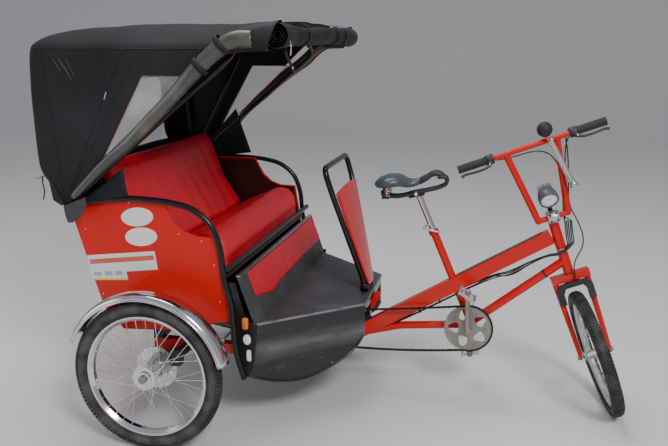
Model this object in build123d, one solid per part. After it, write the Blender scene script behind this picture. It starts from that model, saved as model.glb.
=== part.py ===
from build123d import *
from math import cos, pi, radians, sin, sqrt
import os

os.makedirs("parts", exist_ok=True)

# Frame: +X forward, +Y to the vehicle's left, +Z up, ground at Z = 0.
# X is measured from the rear axle while modelling; the finished pieces are
# shifted so that the origin lies on the ground midway along the vehicle.
REAR_AXLE_X = -650.0
RIGHT = -1
LEFT = 1
SIDES = (RIGHT, LEFT)
FIT = 0.3
SHAFT_FIT = 0.1

# Rear wheels
REAR_R = 281.0
REAR_TYRE_HALF = 28.0
REAR_RIM_R = 228.0
REAR_RIM_HALF = 20.0
WHEEL_Y = 705.0
STUB_R = 10.0
STUB_END_Y = 752.0
HUB_R = 26.0
HUB_FLANGE_R = 44.0
DISC_R = 80.0
DISC_Y = 632.0
DISC_THICK = 3.0
SPOKE_R = 1.3
SPOKES = 36

# Front wheel
FRONT_R = 257.0
FRONT_TYRE_HALF = 24.0
FRONT_RIM_R = 212.0
FRONT_RIM_HALF = 14.0
FRONT_AXLE_R = 5.0
FRONT_HUB_HALF = 44.0
RAKE = 45.0

# Steering axis, from the top of the head tube
HEAD_X = 1413.0
HEAD_Z = 760.0
HEAD_LEAN = 19.8
HEAD_LENGTH = 212.0
HEAD_R = 20.0
STEERER_R = 14.0
STEER_REST = -82.0

# Frame tubes
BEAM_DEPTH = 56.0
BEAM_WIDTH = 40.0
BEAM_REAR_X = 640.0
BEAM_REAR_Z = 241.0
BEAM_SLOPE = 0.600
DOWN_TUBE_R = 17.5
SEAT_TUBE_R = 16.0
LOW_TUBE_R = 16.0
BB_X = 1103.0
BB_Z = 309.0
BB_R = 21.0
BB_HALF = 34.0
SEAT_TUBE_LOW_X = 1115.0
SEAT_TUBE_TOP = (945.0, 700.0)
SEATPOST_R = 13.0
SEATPOST_OUT = 158.0

# Cab
ARM_TUBE_R = 11.0
ARM_Y = 556.0
PANEL_OUT_Y = ARM_Y - ARM_TUBE_R - FIT
PANEL_THICK = 11.0
FLOOR_TOP_Z = 440.0
FLOOR_THICK = 12.0
SKIRT_THICK = 3.0
NOSE_HALF = 200.0
NOSE_X = 700.0
DECK_REAR_X = 335.0

# Hood
HOOD_HALF = 592.0
HOOD_WALL = 5.0
HOOD_SIDE_Z = 1440.0
HOOD_CROWN_Z = 1526.0
BOW_R = 9.0
ROLL_X = 470.0
ROLL_R = 42.0

# Chain drive
CHAIN_Y = -50.0
CHAIN_PITCH = 12.7
RING_TEETH = 48
COG_TEETH = 20
CHAIN_HEIGHT = 8.0
CHAIN_WIDTH = 6.0
CRANK_LENGTH = 165.0
CRANK_ANGLE = 92.0
PEDAL_Y = 130.0


def rod(start, end, radius):
    run = Vector(*end) - Vector(*start)
    return Solid.make_cylinder(radius, run.length, Plane(origin=start, z_dir=run))


def bent_tube(points, radius, bend):
    path = FilletPolyline(*points, radius=bend)
    profile = Plane(origin=path @ 0, z_dir=path % 0) * Circle(radius)
    return sweep(profile, path=path)


def side_plate(points, y_low, y_high, corner=0.0, grow=0.0):
    """Plate with an XZ outline between two Y planes."""
    face = make_face(Polyline(*points, close=True))
    if grow:
        face = offset(face, grow, kind=Kind.INTERSECTION)
    if corner:
        face = fillet(face.vertices(), corner)
    plane = Plane(origin=(0, y_high, 0), x_dir=(1, 0, 0), z_dir=(0, -1, 0))
    return extrude(plane * face, y_high - y_low)


def cross_plate(points, x_low, x_high, corner=0.0):
    """Plate with a YZ outline between two X planes."""
    face = make_face(Polyline(*points, close=True))
    if corner:
        face = fillet(face.vertices(), corner)
    plane = Plane(origin=(x_low, 0, 0), x_dir=(0, 1, 0), z_dir=(1, 0, 0))
    return extrude(plane * face, x_high - x_low)


def box_between(low, high):
    size = [h - l for l, h in zip(low, high)]
    centre = [(h + l) / 2 for l, h in zip(low, high)]
    return Pos(*centre) * Box(*size)


def both_sides(maker):
    return Compound([maker(side) for side in SIDES])


def mirrored(solid):
    return Compound([solid, mirror(solid, about=Plane.XZ)])


def ring_solid(points):
    """Solid of revolution about Z from (radius, height) points."""
    face = make_face(Polyline(*points, close=True))
    return revolve(Plane.XZ * face, Axis.Z)


# Steering frame: local x forward, y left, z up the steering axis
lean = radians(HEAD_LEAN)
steer_origin = (HEAD_X, 0, HEAD_Z)
axis_up = Vector(-sin(lean), 0, cos(lean))
axis_forward = Vector(cos(lean), 0, sin(lean))
turn = radians(STEER_REST)
steer_forward = axis_forward * cos(turn) + Vector(0, 1, 0) * sin(turn)
steer_left = axis_forward * -sin(turn) + Vector(0, 1, 0) * cos(turn)
steer_plane = Plane(origin=steer_origin, x_dir=steer_forward, z_dir=axis_up)
front_tube = FRONT_TYRE_HALF
hub_z = (FRONT_R - front_tube) * sqrt(1 - steer_left.Z ** 2) + front_tube
hub_along = (hub_z - HEAD_Z - RAKE * steer_forward.Z) / axis_up.Z


def steered(solid):
    return steer_plane.location * solid


nodes = {}


# Wheels
def tyre(radius, rim_radius, half):
    bead = half * 0.42
    points = (
        (rim_radius + FIT, -bead),
        (rim_radius + FIT, bead),
        (radius - half * 0.85, half),
        (radius, half * 0.42),
        (radius, -half * 0.42),
        (radius - half * 0.85, -half),
    )
    return ring_solid(points)


def rim(radius, half):
    points = (
        (radius, -half),
        (radius, half),
        (radius - 7, half),
        (radius - 17, half * 0.45),
        (radius - 17, -half * 0.45),
        (radius - 7, -half),
    )
    return ring_solid(points)


def spokes(rim_radius, flange_radius, flange_out, count):
    parts = []
    for i in range(count):
        side = 1 if i % 2 else -1
        lean_way = 1 if (i // 2) % 2 else -1
        at_rim = radians(360.0 / count * i)
        at_hub = at_rim + lean_way * radians(52)
        start = (flange_radius * cos(at_hub), flange_radius * sin(at_hub), side * flange_out)
        end = (rim_radius * cos(at_rim), rim_radius * sin(at_rim), 0)
        parts.append(rod(start, end, SPOKE_R))
    return parts


def wire_wheel(rim_radius, rim_half, hub_radius, flange_radius, hub_half, flange_at, bore):
    body = rim(rim_radius, rim_half)
    hub = Cylinder(hub_radius, 2 * hub_half)
    for side in SIDES:
        hub += Pos(0, 0, side * flange_at) * Cylinder(flange_radius, 4)
    hub -= Cylinder(bore, 4 * hub_half)
    wires = spokes(rim_radius - 12, flange_radius - 5, flange_at, SPOKES)
    for wire in wires:
        hub += wire - Cylinder(bore, 4 * hub_half)
    return body + hub


rear_tyre = tyre(REAR_R, REAR_RIM_R, REAR_TYRE_HALF)
rear_wheel = wire_wheel(
    REAR_RIM_R, REAR_RIM_HALF, HUB_R, HUB_FLANGE_R, 40, 30, STUB_R + SHAFT_FIT
)
front_tyre = tyre(FRONT_R, FRONT_RIM_R, FRONT_TYRE_HALF)
front_wheel = wire_wheel(
    FRONT_RIM_R, FRONT_RIM_HALF, 18, 30, FRONT_HUB_HALF, 34, FRONT_AXLE_R + SHAFT_FIT
)


def rear_place(side):
    """Wheel frame at a rear hub, local z pointing outwards."""
    origin = (0, side * WHEEL_Y, REAR_R)
    return Plane(origin=origin, x_dir=(1, 0, 0), z_dir=(0, side, 0)).location


for side, name in ((RIGHT, "right"), (LEFT, "left")):
    place = rear_place(side)
    disc = Pos(0, 0, DISC_Y - WHEEL_Y) * Cylinder(DISC_R, DISC_THICK)
    carrier = Pos(0, 0, (DISC_Y - WHEEL_Y - 40) / 2) * Cylinder(HUB_R, WHEEL_Y - DISC_Y - 40)
    drilled = Cylinder(STUB_R + SHAFT_FIT, 400)
    nodes["rear_tyre_" + name] = place * rear_tyre
    nodes["rear_wheel_" + name] = place * (rear_wheel + (disc + carrier - drilled))

front_place = Plane(
    origin=steer_plane.from_local_coords((RAKE, 0, hub_along)),
    x_dir=axis_up,
    z_dir=steer_left,
).location
nodes["front_tyre"] = front_place * front_tyre
nodes["front_wheel"] = front_place * front_wheel

# Fork, with the steerer inside the head tube
crown_z = -HEAD_LENGTH - 5
blade_y = 64.0
drop_y = 58.0
fork_parts = rod((0, 0, crown_z), (0, 0, 8), STEERER_R)
fork_parts += Pos(0, 0, crown_z - 14) * Box(44, 2 * blade_y + 24, 28)
for side in SIDES:
    top = Vector(0, side * blade_y, crown_z - 14)
    foot = Vector(RAKE, side * drop_y, hub_along + 8)
    run = foot - top
    fork_parts += Solid.make_cone(13, 9, run.length, Plane(origin=top, z_dir=run))
    fork_parts += Pos(RAKE, side * drop_y, hub_along) * Rot(90, 0, 0) * Cylinder(13, 6)
fork_parts -= rod((RAKE, -90, hub_along), (RAKE, 90, hub_along), FRONT_AXLE_R + FIT)
for side in SIDES:
    near = (RAKE, side * 61, hub_along)
    far = (RAKE, side * 90, hub_along)
    fork_parts -= rod(near, far, 10)
nodes["fork"] = steered(fork_parts)
front_axle = rod((RAKE, -72, hub_along), (RAKE, 72, hub_along), FRONT_AXLE_R)
for side in SIDES:
    nut = Pos(RAKE, side * 66, hub_along) * Rot(90, 0, 0) * Cylinder(9, 9)
    front_axle += nut
nodes["front_axle"] = steered(front_axle)

# Brake arch over the front tyre
arch_top = crown_z - 28 - FIT
arch_points = (
    (-72, arch_top - 84), (-72, arch_top - 24), (-50, arch_top),
    (50, arch_top), (72, arch_top - 24), (72, arch_top - 84),
    (46, arch_top - 84), (46, arch_top - 40), (34, arch_top - 20),
    (-34, arch_top - 20), (-46, arch_top - 40), (-46, arch_top - 84),
)
arch_face = make_face(Polyline(*arch_points, close=True))
arch_plane = Plane(origin=(28, 0, 0), x_dir=(0, 1, 0), z_dir=(1, 0, 0))
arch = extrude(arch_plane * arch_face, 14)
for side in SIDES:
    arch -= rod((0, side * blade_y, crown_z - 14), (RAKE, side * drop_y, hub_along), 16)
arch += Pos(14, 0, arch_top - 9) * Box(30, 60, 18)
nodes["front_brake"] = steered(arch)

# Stem and handlebar
BAR_R = 11.1
BAR_BORE_R = 9.0
BAR_BORE_DEPTH = 80.0
BAR_AHEAD = 45.0
BAR_LOW_Z = 30.0
BAR_HIGH_Z = 320.0
BAR_HALF = 290.0
RISER_LOW_Y = 58.0
RISER_HIGH_Y = 100.0
stem = rod((0, 0, 8 + FIT), (0, 0, 52), 19)
stem += rod((0, 0, BAR_LOW_Z), (BAR_AHEAD, 0, BAR_LOW_Z), 15)
stem += Pos(BAR_AHEAD, 0, BAR_LOW_Z) * Box(34, 44, 40)
stem -= rod((BAR_AHEAD, -60, BAR_LOW_Z), (BAR_AHEAD, 60, BAR_LOW_Z), BAR_R + FIT)
nodes["stem"] = steered(stem)
upper_bar = rod((BAR_AHEAD, -BAR_HALF, BAR_HIGH_Z), (BAR_AHEAD, BAR_HALF, BAR_HIGH_Z), BAR_R)
bore_inner = (BAR_AHEAD, BAR_HALF - BAR_BORE_DEPTH, BAR_HIGH_Z)
bore_tip = (BAR_AHEAD, BAR_HALF + 5, BAR_HIGH_Z)
upper_bar -= rod(bore_inner, bore_tip, BAR_BORE_R)
nodes["upper_bar"] = steered(upper_bar)
risers = rod((BAR_AHEAD, -RISER_LOW_Y, BAR_LOW_Z), (BAR_AHEAD, RISER_LOW_Y, BAR_LOW_Z), BAR_R)
for side in SIDES:
    low = (BAR_AHEAD, side * RISER_LOW_Y, BAR_LOW_Z)
    high = (BAR_AHEAD, side * RISER_HIGH_Y, BAR_HIGH_Z)
    risers += rod(low, high, BAR_R + 2)
    risers += Pos(*low) * Sphere(BAR_R + 2)
ends = [(BAR_AHEAD, side * BAR_HALF, BAR_HIGH_Z) for side in SIDES]
risers -= rod(ends[0], ends[1], BAR_R + FIT)
above = (BAR_AHEAD, 0, BAR_HIGH_Z + 50)
risers -= Pos(*above) * Box(60, 2 * BAR_HALF, 100)
nodes["handlebar"] = steered(risers)
GRIP_LENGTH = 110.0
grips = []
levers = []
for side in SIDES:
    outer = (BAR_AHEAD, side * BAR_HALF, BAR_HIGH_Z)
    inner = (BAR_AHEAD, side * (BAR_HALF - GRIP_LENGTH), BAR_HIGH_Z)
    clamp_in = (BAR_AHEAD, side * (BAR_HALF - GRIP_LENGTH - 32), BAR_HIGH_Z)
    hole = rod(clamp_in, outer, BAR_R + FIT)
    grips.append(rod(inner, outer, 16) - hole)
    clamp_out = (BAR_AHEAD, side * (BAR_HALF - GRIP_LENGTH - FIT), BAR_HIGH_Z)
    body = rod(clamp_in, clamp_out, 19)
    blade_in = (BAR_AHEAD + 26, side * (BAR_HALF - GRIP_LENGTH - 20), BAR_HIGH_Z - 14)
    blade_out = (BAR_AHEAD + 48, side * (BAR_HALF - 20), BAR_HIGH_Z - 26)
    body += rod((BAR_AHEAD, blade_in[1], BAR_HIGH_Z), blade_in, 9)
    body += rod(blade_in, blade_out, 5)
    levers.append(body - hole)
nodes["grips"] = steered(Compound(grips))
nodes["brake_levers"] = steered(Compound(levers))

# Headlight on a bracket above the stem
LAMP_Z = 118.0
lamp = Pos(70, 0, LAMP_Z) * Rot(0, 90, 0) * Cylinder(34, 30)
lamp += Pos(42, 0, LAMP_Z) * Rot(0, 90, 0) * Cone(22, 34, 26)
lamp += rod((58, 0, 50 + FIT), (58, 0, LAMP_Z), 7)
nodes["headlight"] = steered(lamp)

# Bulb horn beside the left riser
horn = rod((BAR_AHEAD + 26, 66, BAR_HIGH_Z + 18), (BAR_AHEAD + 26, 96, 150), 7)
horn += rod((BAR_AHEAD + 26, 96, 150), (BAR_AHEAD + 26, 99, 138), 12)
horn += Pos(BAR_AHEAD + 26, 62, BAR_HIGH_Z + 46) * Sphere(29)
horn += rod((BAR_AHEAD + BAR_R + FIT, 70, BAR_HIGH_Z), (BAR_AHEAD + 26, 70, BAR_HIGH_Z), 6)
nodes["horn"] = steered(horn)

# Main frame: beam and head tube, then the lower tubes cut to fit each other
beam_end_x = HEAD_X - 4
beam_end_z = BEAM_REAR_Z + BEAM_SLOPE * (beam_end_x - BEAM_REAR_X)
beam_run = Vector(beam_end_x - BEAM_REAR_X, 0, beam_end_z - BEAM_REAR_Z)
beam_plane = Plane(
    origin=(BEAM_REAR_X, 0, BEAM_REAR_Z), x_dir=(0, 1, 0), z_dir=beam_run
)
head_top = Vector(*steer_origin)
head_low = head_top - axis_up * HEAD_LENGTH
head_outer = Solid.make_cylinder(HEAD_R, HEAD_LENGTH, Plane(origin=head_low, z_dir=axis_up))
head_bore = Solid.make_cylinder(STEERER_R + SHAFT_FIT, HEAD_LENGTH + 40, Plane(origin=head_low - axis_up * 20, z_dir=axis_up))
beam = extrude(beam_plane * Rectangle(BEAM_WIDTH, BEAM_DEPTH), beam_run.length)
main_beam = (beam + head_outer) - head_bore
nodes["main_beam"] = main_beam

bb_shell = Pos(BB_X, 0, BB_Z) * Rot(90, 0, 0) * Cylinder(BB_R, 2 * BB_HALF)
low_points = ((BB_X, 0, BB_Z), (816, 0, 282), (655, 0, 238))
low_tube = bent_tube(low_points, LOW_TUBE_R, 300)
spindle_bore = Pos(BB_X, 0, BB_Z) * Rot(90, 0, 0) * Cylinder(9 + SHAFT_FIT, 200)
seat_top = Vector(SEAT_TUBE_TOP[0], 0, SEAT_TUBE_TOP[1])
seat_low = Vector(SEAT_TUBE_LOW_X, 0, BB_Z)
seat_run = seat_top - seat_low
post_bore = Solid.make_cylinder(SEATPOST_R + SHAFT_FIT, 200, Plane(origin=seat_top - seat_run.normalized() * 150, z_dir=seat_run))


beam_wide = extrude(
    beam_plane * Rectangle(BEAM_WIDTH + 2 * FIT, BEAM_DEPTH + 2 * FIT), beam_run.length
)
shell_wide = Pos(BB_X, 0, BB_Z) * Rot(90, 0, 0) * Cylinder(BB_R + FIT, 2 * BB_HALF)
nodes["bottom_tube"] = (bb_shell + low_tube) - spindle_bore - beam_wide
seat_tube = rod(seat_low, seat_top, SEAT_TUBE_R) - post_bore - beam_wide - shell_wide
seat_tube -= bent_tube(low_points, LOW_TUBE_R + FIT, 300)
nodes["seat_tube"] = seat_tube
down_high = Vector(1462, 0, 603)
down_low = Vector(BB_X + 10, 0, BB_Z + 12)
head_wide = Solid.make_cylinder(HEAD_R + FIT, HEAD_LENGTH + 60, Plane(origin=head_low - axis_up * 30, z_dir=axis_up))
down_tube = rod(down_low, down_high, DOWN_TUBE_R) - head_wide - shell_wide
down_tube -= Solid.make_cylinder(SEAT_TUBE_R + FIT, seat_run.length, Plane(origin=seat_low, z_dir=seat_run))
nodes["down_tube"] = down_tube

# Seat post and saddle
post_top = seat_top + seat_run.normalized() * SEATPOST_OUT
post_low = seat_top - seat_run.normalized() * 120
seat_post = rod(post_low, post_top, SEATPOST_R)
clamp = Solid.make_cylinder(SEAT_TUBE_R + 5, 18, Plane(origin=seat_top - seat_run.normalized() * 14, z_dir=seat_run))
clamp -= Solid.make_cylinder(SEATPOST_R + FIT, 60, Plane(origin=seat_top - seat_run.normalized() * 40, z_dir=seat_run))
nodes["seat_tube"] = nodes["seat_tube"] + clamp

SADDLE_Z = 930.0
SADDLE_BACK_X = 712.0
saddle_outline = (
    (SADDLE_BACK_X, -62), (SADDLE_BACK_X + 40, -78), (SADDLE_BACK_X + 100, -52),
    (SADDLE_BACK_X + 160, -24), (SADDLE_BACK_X + 250, -15), (SADDLE_BACK_X + 250, 15),
    (SADDLE_BACK_X + 160, 24), (SADDLE_BACK_X + 100, 52), (SADDLE_BACK_X + 40, 78),
    (SADDLE_BACK_X, 62),
)
saddle_top = make_face(Polyline(*saddle_outline, close=True))
saddle_blank = extrude(Plane.XY.offset(SADDLE_Z - 70) * saddle_top, 110)
saddle_profile = (
    (SADDLE_BACK_X, SADDLE_Z - 22), (SADDLE_BACK_X, SADDLE_Z + 12), (SADDLE_BACK_X + 60, SADDLE_Z + 20),
    (SADDLE_BACK_X + 130, SADDLE_Z - 12), (SADDLE_BACK_X + 250, SADDLE_Z - 34),
    (SADDLE_BACK_X + 250, SADDLE_Z - 48), (SADDLE_BACK_X + 120, SADDLE_Z - 46),
)
saddle = saddle_blank & side_plate(saddle_profile, -90, 90)
nodes["saddle"] = saddle
carrier_points = (
    (790, 828), (800, 820), (975, 872), (992, 886), (990, 912), (972, 920), (952, 904), (940, 876),
)
carrier = side_plate(carrier_points, -15, 15)
carrier -= rod((970, -20, 897), (970, 20, 897), 8)
saddle_wide = Pos(0, 0, -FIT) * saddle
nodes["saddle_carrier"] = carrier - saddle - saddle_wide
nodes["seat_post"] = seat_post - Pos(0, 0, -FIT) * carrier - carrier

# Rear axle, its housing and the side rails that carry it
AXLE_Z = REAR_R
HOUSING_R = 24.0
HOUSING_END_Y = 600.0
COG_Y = CHAIN_Y
housing = []
for y_low, y_high in ((-HOUSING_END_Y, COG_Y - 14), (COG_Y + 14, HOUSING_END_Y)):
    piece = rod((0, y_low, AXLE_Z), (0, y_high, AXLE_Z), HOUSING_R)
    piece -= rod((0, y_low - 1, AXLE_Z), (0, y_high + 1, AXLE_Z), STUB_R + FIT)
    housing.append(piece)
nodes["axle_housing"] = Compound(housing)
axle = rod((0, -STUB_END_Y, AXLE_Z), (0, STUB_END_Y, AXLE_Z), STUB_R)
for side in SIDES:
    axle += rod((0, side * (WHEEL_Y + 41), AXLE_Z), (0, side * (STUB_END_Y + 2), AXLE_Z), 15)
nodes["rear_axle"] = axle

RAIL_SIZE = 38.0
RAIL_Y = 500.0
RAIL_FRONT_X = 318.0
RAIL_Z = 330.0
DROP = HOUSING_R + FIT


def side_rail(side):
    y_mid = side * RAIL_Y
    half = RAIL_SIZE / 2
    low = RAIL_Z - half
    rail = box_between((-60, y_mid - half, low), (RAIL_FRONT_X, y_mid + half, low + RAIL_SIZE))
    rail += box_between((-30, y_mid - half, AXLE_Z - 34), (30, y_mid + half, low + 4))
    return rail - rod((0, y_mid - 60, AXLE_Z), (0, y_mid + 60, AXLE_Z), DROP)


nodes["side_rails"] = both_sides(side_rail)
RAIL_TOP = RAIL_Z + RAIL_SIZE / 2
LOCKER_REAR = (-165.0, 388.0)
DECK_UNDER_Z = FLOOR_TOP_Z - FLOOR_THICK
chain_slot = box_between((0, CHAIN_Y - 12, 330), (1000, CHAIN_Y + 12, 392))
members = []
for x, top in ((-60, 399.5), (280, DECK_UNDER_Z - FIT)):
    member = box_between((x, -RAIL_Y - 19, RAIL_TOP), (x + RAIL_SIZE, RAIL_Y + 19, top))
    members.append(member - chain_slot)
spine = box_between((RAIL_FRONT_X - 5, -20, DECK_UNDER_Z - 30), (NOSE_X, 20, DECK_UNDER_Z - FIT))
spine += box_between((640, -20, 276), (690, 20, DECK_UNDER_Z - 30))
floor_frame = members[1] + spine - beam_wide - bent_tube(low_points, LOW_TUBE_R + FIT, 300)
nodes["floor_frame"] = Compound([members[0], floor_frame])

# Cab panels
panel_points = (
    (-352, 868), (-280, 895), (10, 895), (30, 858), (55, 815), (94, 782),
    (140, 765), (212, 763), (238, 600), (252, 520), (264, 448),
    (198, 439), (120, 400), (-170, 385), (-245, 470), (-262, 520), (-342, 794),
)
panel_in = PANEL_OUT_Y - PANEL_THICK
for side, name in ((RIGHT, "right"), (LEFT, "left")):
    low, high = sorted((side * panel_in, side * PANEL_OUT_Y))
    nodes["side_panel_" + name] = side_plate(panel_points, low, high)
back_points = (
    (-352, 868), (-342, 794), (-262, 520), (-245, 470), (-174, 388), (-166, 396), (-235, 474), (-251, 524), (-330, 794), (-341, 880),
)
back_panel = side_plate(back_points, -panel_in + FIT, panel_in - FIT)
nodes["back_panel"] = back_panel
locker_points = (LOCKER_REAR, (190 - FIT, DECK_UNDER_Z), (190 - FIT, FLOOR_TOP_Z), (-165, 400))
locker_floor = side_plate(locker_points, -panel_in + FIT, panel_in - FIT)
nodes["locker_floor"] = locker_floor - back_panel - Pos(-FIT, 0, FIT) * back_panel

# Arm tubes, running forward along the panel's top and down as the front posts
arm_points = (
    (-330, 872), (-112, 898), (40, 890), (135, 870), (205, 815), (236, 730), (244, 610),
    (270, 525), (280, 340), (312, 232),
)


def arm_tube(side):
    points = [(x, side * ARM_Y, z) for x, z in arm_points]
    return bent_tube(points, ARM_TUBE_R, 30)


nodes["arm_tubes"] = both_sides(arm_tube)
SEAT_RAIL_X = 264.0
SEAT_RAIL_Z = 655.0
seat_rail = rod((SEAT_RAIL_X, -ARM_Y - 8, SEAT_RAIL_Z), (SEAT_RAIL_X, ARM_Y + 8, SEAT_RAIL_Z), 11)
nodes["seat_rail"] = seat_rail

# Seat board, cushions and backrest board
seat_board = side_plate(
    ((-95, 530), (-90, 520), (252, 612), (247, 622)), -panel_in + FIT, panel_in - FIT
)
cushion_points = (
    (-94.9, 530.4), (246.9, 622.4), (252, 690), (240, 752), (196, 788), (130, 760), (-46, 668), (-88, 600),
)
nodes["seat_cushion"] = side_plate(cushion_points, -515, 515)
backrest_points = (
    (-96.5, 545), (-88.5, 600.3), (-46.6, 668.3), (-130, 820), (-205, 1000), (-232, 1038), (-268, 1030), (-262, 980),
)
nodes["backrest_cushion"] = side_plate(backrest_points, -515, 515)
board_back = ((-97.4, 545), (-262.8, 980), (-270.2, 977), (-104.8, 542))
nodes["seat_boards"] = Compound([seat_board, side_plate(board_back, -panel_in + FIT, panel_in - FIT)])

# Locker front: board below, two lengths of angle above it
board_points = (
    (358, FLOOR_TOP_Z + FIT), (296, 618), (286, 614), (347, FLOOR_TOP_Z + FIT),
)
nodes["seat_front_board"] = side_plate(board_points, -panel_in + FIT, panel_in - FIT)
trim = []
for y_low, y_high in ((-534, -40), (-30, 534)):
    trim.append(side_plate(((283, 618 + FIT), (298, 618 + FIT), (298, 622), (283, 622)), y_low, y_high))
nodes["seat_front_trim"] = Compound(trim)

# Floor deck and the skirt below its edge
deck_outline = (
    (190, -panel_in + FIT), (DECK_REAR_X, -panel_in + FIT), (NOSE_X, -NOSE_HALF), (NOSE_X, NOSE_HALF),
    (DECK_REAR_X, panel_in - FIT), (190, panel_in - FIT),
)
deck = extrude(
    Plane.XY.offset(FLOOR_TOP_Z - FLOOR_THICK) * make_face(Polyline(*deck_outline, close=True)),
    FLOOR_THICK,
)
nodes["floor_deck"] = deck
skirt_start = Vector(DECK_REAR_X, -panel_in, 0)
skirt_end = Vector(NOSE_X, -NOSE_HALF, 0)
skirt_run = skirt_end - skirt_start
skirt_length = skirt_run.length
skirt_points = (
    (0, FLOOR_TOP_Z), (0, 232), (90, 190), (200, 175), (310, 195), (420, 245),
    (skirt_length, 310), (skirt_length, FLOOR_TOP_Z),
)
skirt_face = make_face(Polyline(*skirt_points, close=True))
skirt_plane = Plane(origin=skirt_start, x_dir=skirt_run, z_dir=skirt_run.cross(Vector(0, 0, 1)))
skirt = extrude(skirt_plane * skirt_face, SKIRT_THICK)
skirt = Pos(0, -FIT, 0) * skirt
nodes["skirts"] = mirrored(skirt)
nose_board = box_between((NOSE_X + FIT, -NOSE_HALF, 260), (NOSE_X + FIT + 8, NOSE_HALF, FLOOR_TOP_Z))
nodes["nose_board"] = nose_board - beam_wide - chain_slot - bent_tube(low_points, LOW_TUBE_R + FIT, 300)
POST_PANEL_Y = 552.0
post_points = ((311, 238), (334, 238), (352, 300), (366, 445), (330, 445), (285, 600), (247, 600), (270, 525), (281, 340))
post_panel = side_plate(post_points, -POST_PANEL_Y, -POST_PANEL_Y + 4)
post_panel -= bent_tube([(x, -ARM_Y, z) for x, z in arm_points], ARM_TUBE_R + FIT, 30)
nodes["post_panels"] = mirrored(post_panel)


def marker(x, z, half_x, half_z, side):
    y_low, y_high = sorted((side * (POST_PANEL_Y + FIT), side * (POST_PANEL_Y + 12)))
    return box_between((x - half_x, y_low, z - half_z), (x + half_x, y_high, z + half_z))


nodes["amber_reflectors"] = both_sides(lambda side: marker(322, 450, 10, 20, side))
nodes["marker_lamps"] = Compound([
    marker(x, z, 9, 20, side) for side in SIDES for x, z in ((328, 389), (334, 327))
])

# Rear mudguards, over the tyres
GUARD_GAP = 27.0
GUARD_R = REAR_R + GUARD_GAP
GUARD_HALF = 38.0
guard_ring = Cylinder(GUARD_R + 2, 2 * GUARD_HALF) - Cylinder(GUARD_R, 3 * GUARD_HALF)


def mudguard(side):
    ring = Pos(0, side * WHEEL_Y, AXLE_Z) * Rot(90, 0, 0) * guard_ring
    window = side_plate(
        ((0, AXLE_Z), (-420, 470), (-420, 800), (420, 800), (420, 378)), -900, 900
    )
    return ring & window


nodes["mudguards"] = both_sides(mudguard)
stays = []
for side in SIDES:
    for angle in (28, 90, 150):
        at = Vector((GUARD_R - 1) * cos(radians(angle)), 0, AXLE_Z + (GUARD_R - 1) * sin(radians(angle)))
        y_out = side * (WHEEL_Y - GUARD_HALF - FIT)
        y_in = side * ((ARM_Y + ARM_TUBE_R if angle == 28 else PANEL_OUT_Y) + FIT)
        stays.append(rod((at.X, y_out, at.Z), (at.X, y_in, at.Z), 5))
nodes["mudguard_stays"] = Compound(stays)

# Brake calipers on the side rails
calipers = []
for side in SIDES:
    low, high = sorted((side * (DISC_Y - 20), side * (DISC_Y + 16)))
    body = box_between((58, low, 300), (100, high, 360))
    slot_low, slot_high = sorted((side * (DISC_Y - 5), side * (DISC_Y + 5)))
    body -= box_between((0, slot_low, 200), (90, slot_high, 400))
    arm_low, arm_high = sorted((side * (RAIL_Y + 19 + FIT), side * (DISC_Y - 20)))
    body += box_between((60, arm_low, 322), (98, arm_high, 338))
    calipers.append(body)
nodes["brake_calipers"] = Compound(calipers)

# Hood
hood_rear = ((-368, 866), (-420, 1000), (-406, 1300), (-404, 1470), (-350, 1560))
hood_front = ((ROLL_X - ROLL_R - FIT, 1560), (ROLL_X - ROLL_R - FIT, 1468), (358, 1452), (262, 1418))
roof_section = (
    (-HOOD_HALF, 700), (-HOOD_HALF, HOOD_SIDE_Z), (-HOOD_HALF + 160, HOOD_CROWN_Z - 20), (0, HOOD_CROWN_Z),
    (HOOD_HALF - 160, HOOD_CROWN_Z - 20), (HOOD_HALF, HOOD_SIDE_Z), (HOOD_HALF, 700),
)
hood_outer = cross_plate(roof_section, -470, 800) & side_plate(hood_rear + hood_front, -700, 700)
wall = HOOD_WALL
inner_section = [
    (y - wall * (y > 0) + wall * (y < 0), z - wall * (z > 700)) for y, z in roof_section
]
rear_slope = (hood_rear[0][0] - hood_rear[1][0]) / (hood_rear[1][1] - hood_rear[0][1])
drop = hood_rear[0][1] - 700
inner_rear = [(hood_rear[0][0] + rear_slope * drop + wall, 700)]
inner_rear += [(x + wall, z) for x, z in hood_rear[1:]]
inner_rear += [(900, 1560), (900, 700)]
hood_inner = cross_plate(inner_section, -470, 900) & side_plate(inner_rear, -700, 700)
hood = hood_outer - hood_inner
window_points = ((-12, 1338), (160, 1338), (-215, 985))
for side in SIDES:
    low, high = sorted((side * (HOOD_HALF - 20), side * (HOOD_HALF + 20)))
    hood -= side_plate(window_points, low, high)
nodes["hood_fabric"] = hood
panes = []
for side in SIDES:
    low, high = sorted((side * (HOOD_HALF - 4), side * (HOOD_HALF - 2)))
    panes.append(side_plate(window_points, low, high, grow=-0.5))
nodes["hood_windows"] = Compound(panes)

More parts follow.
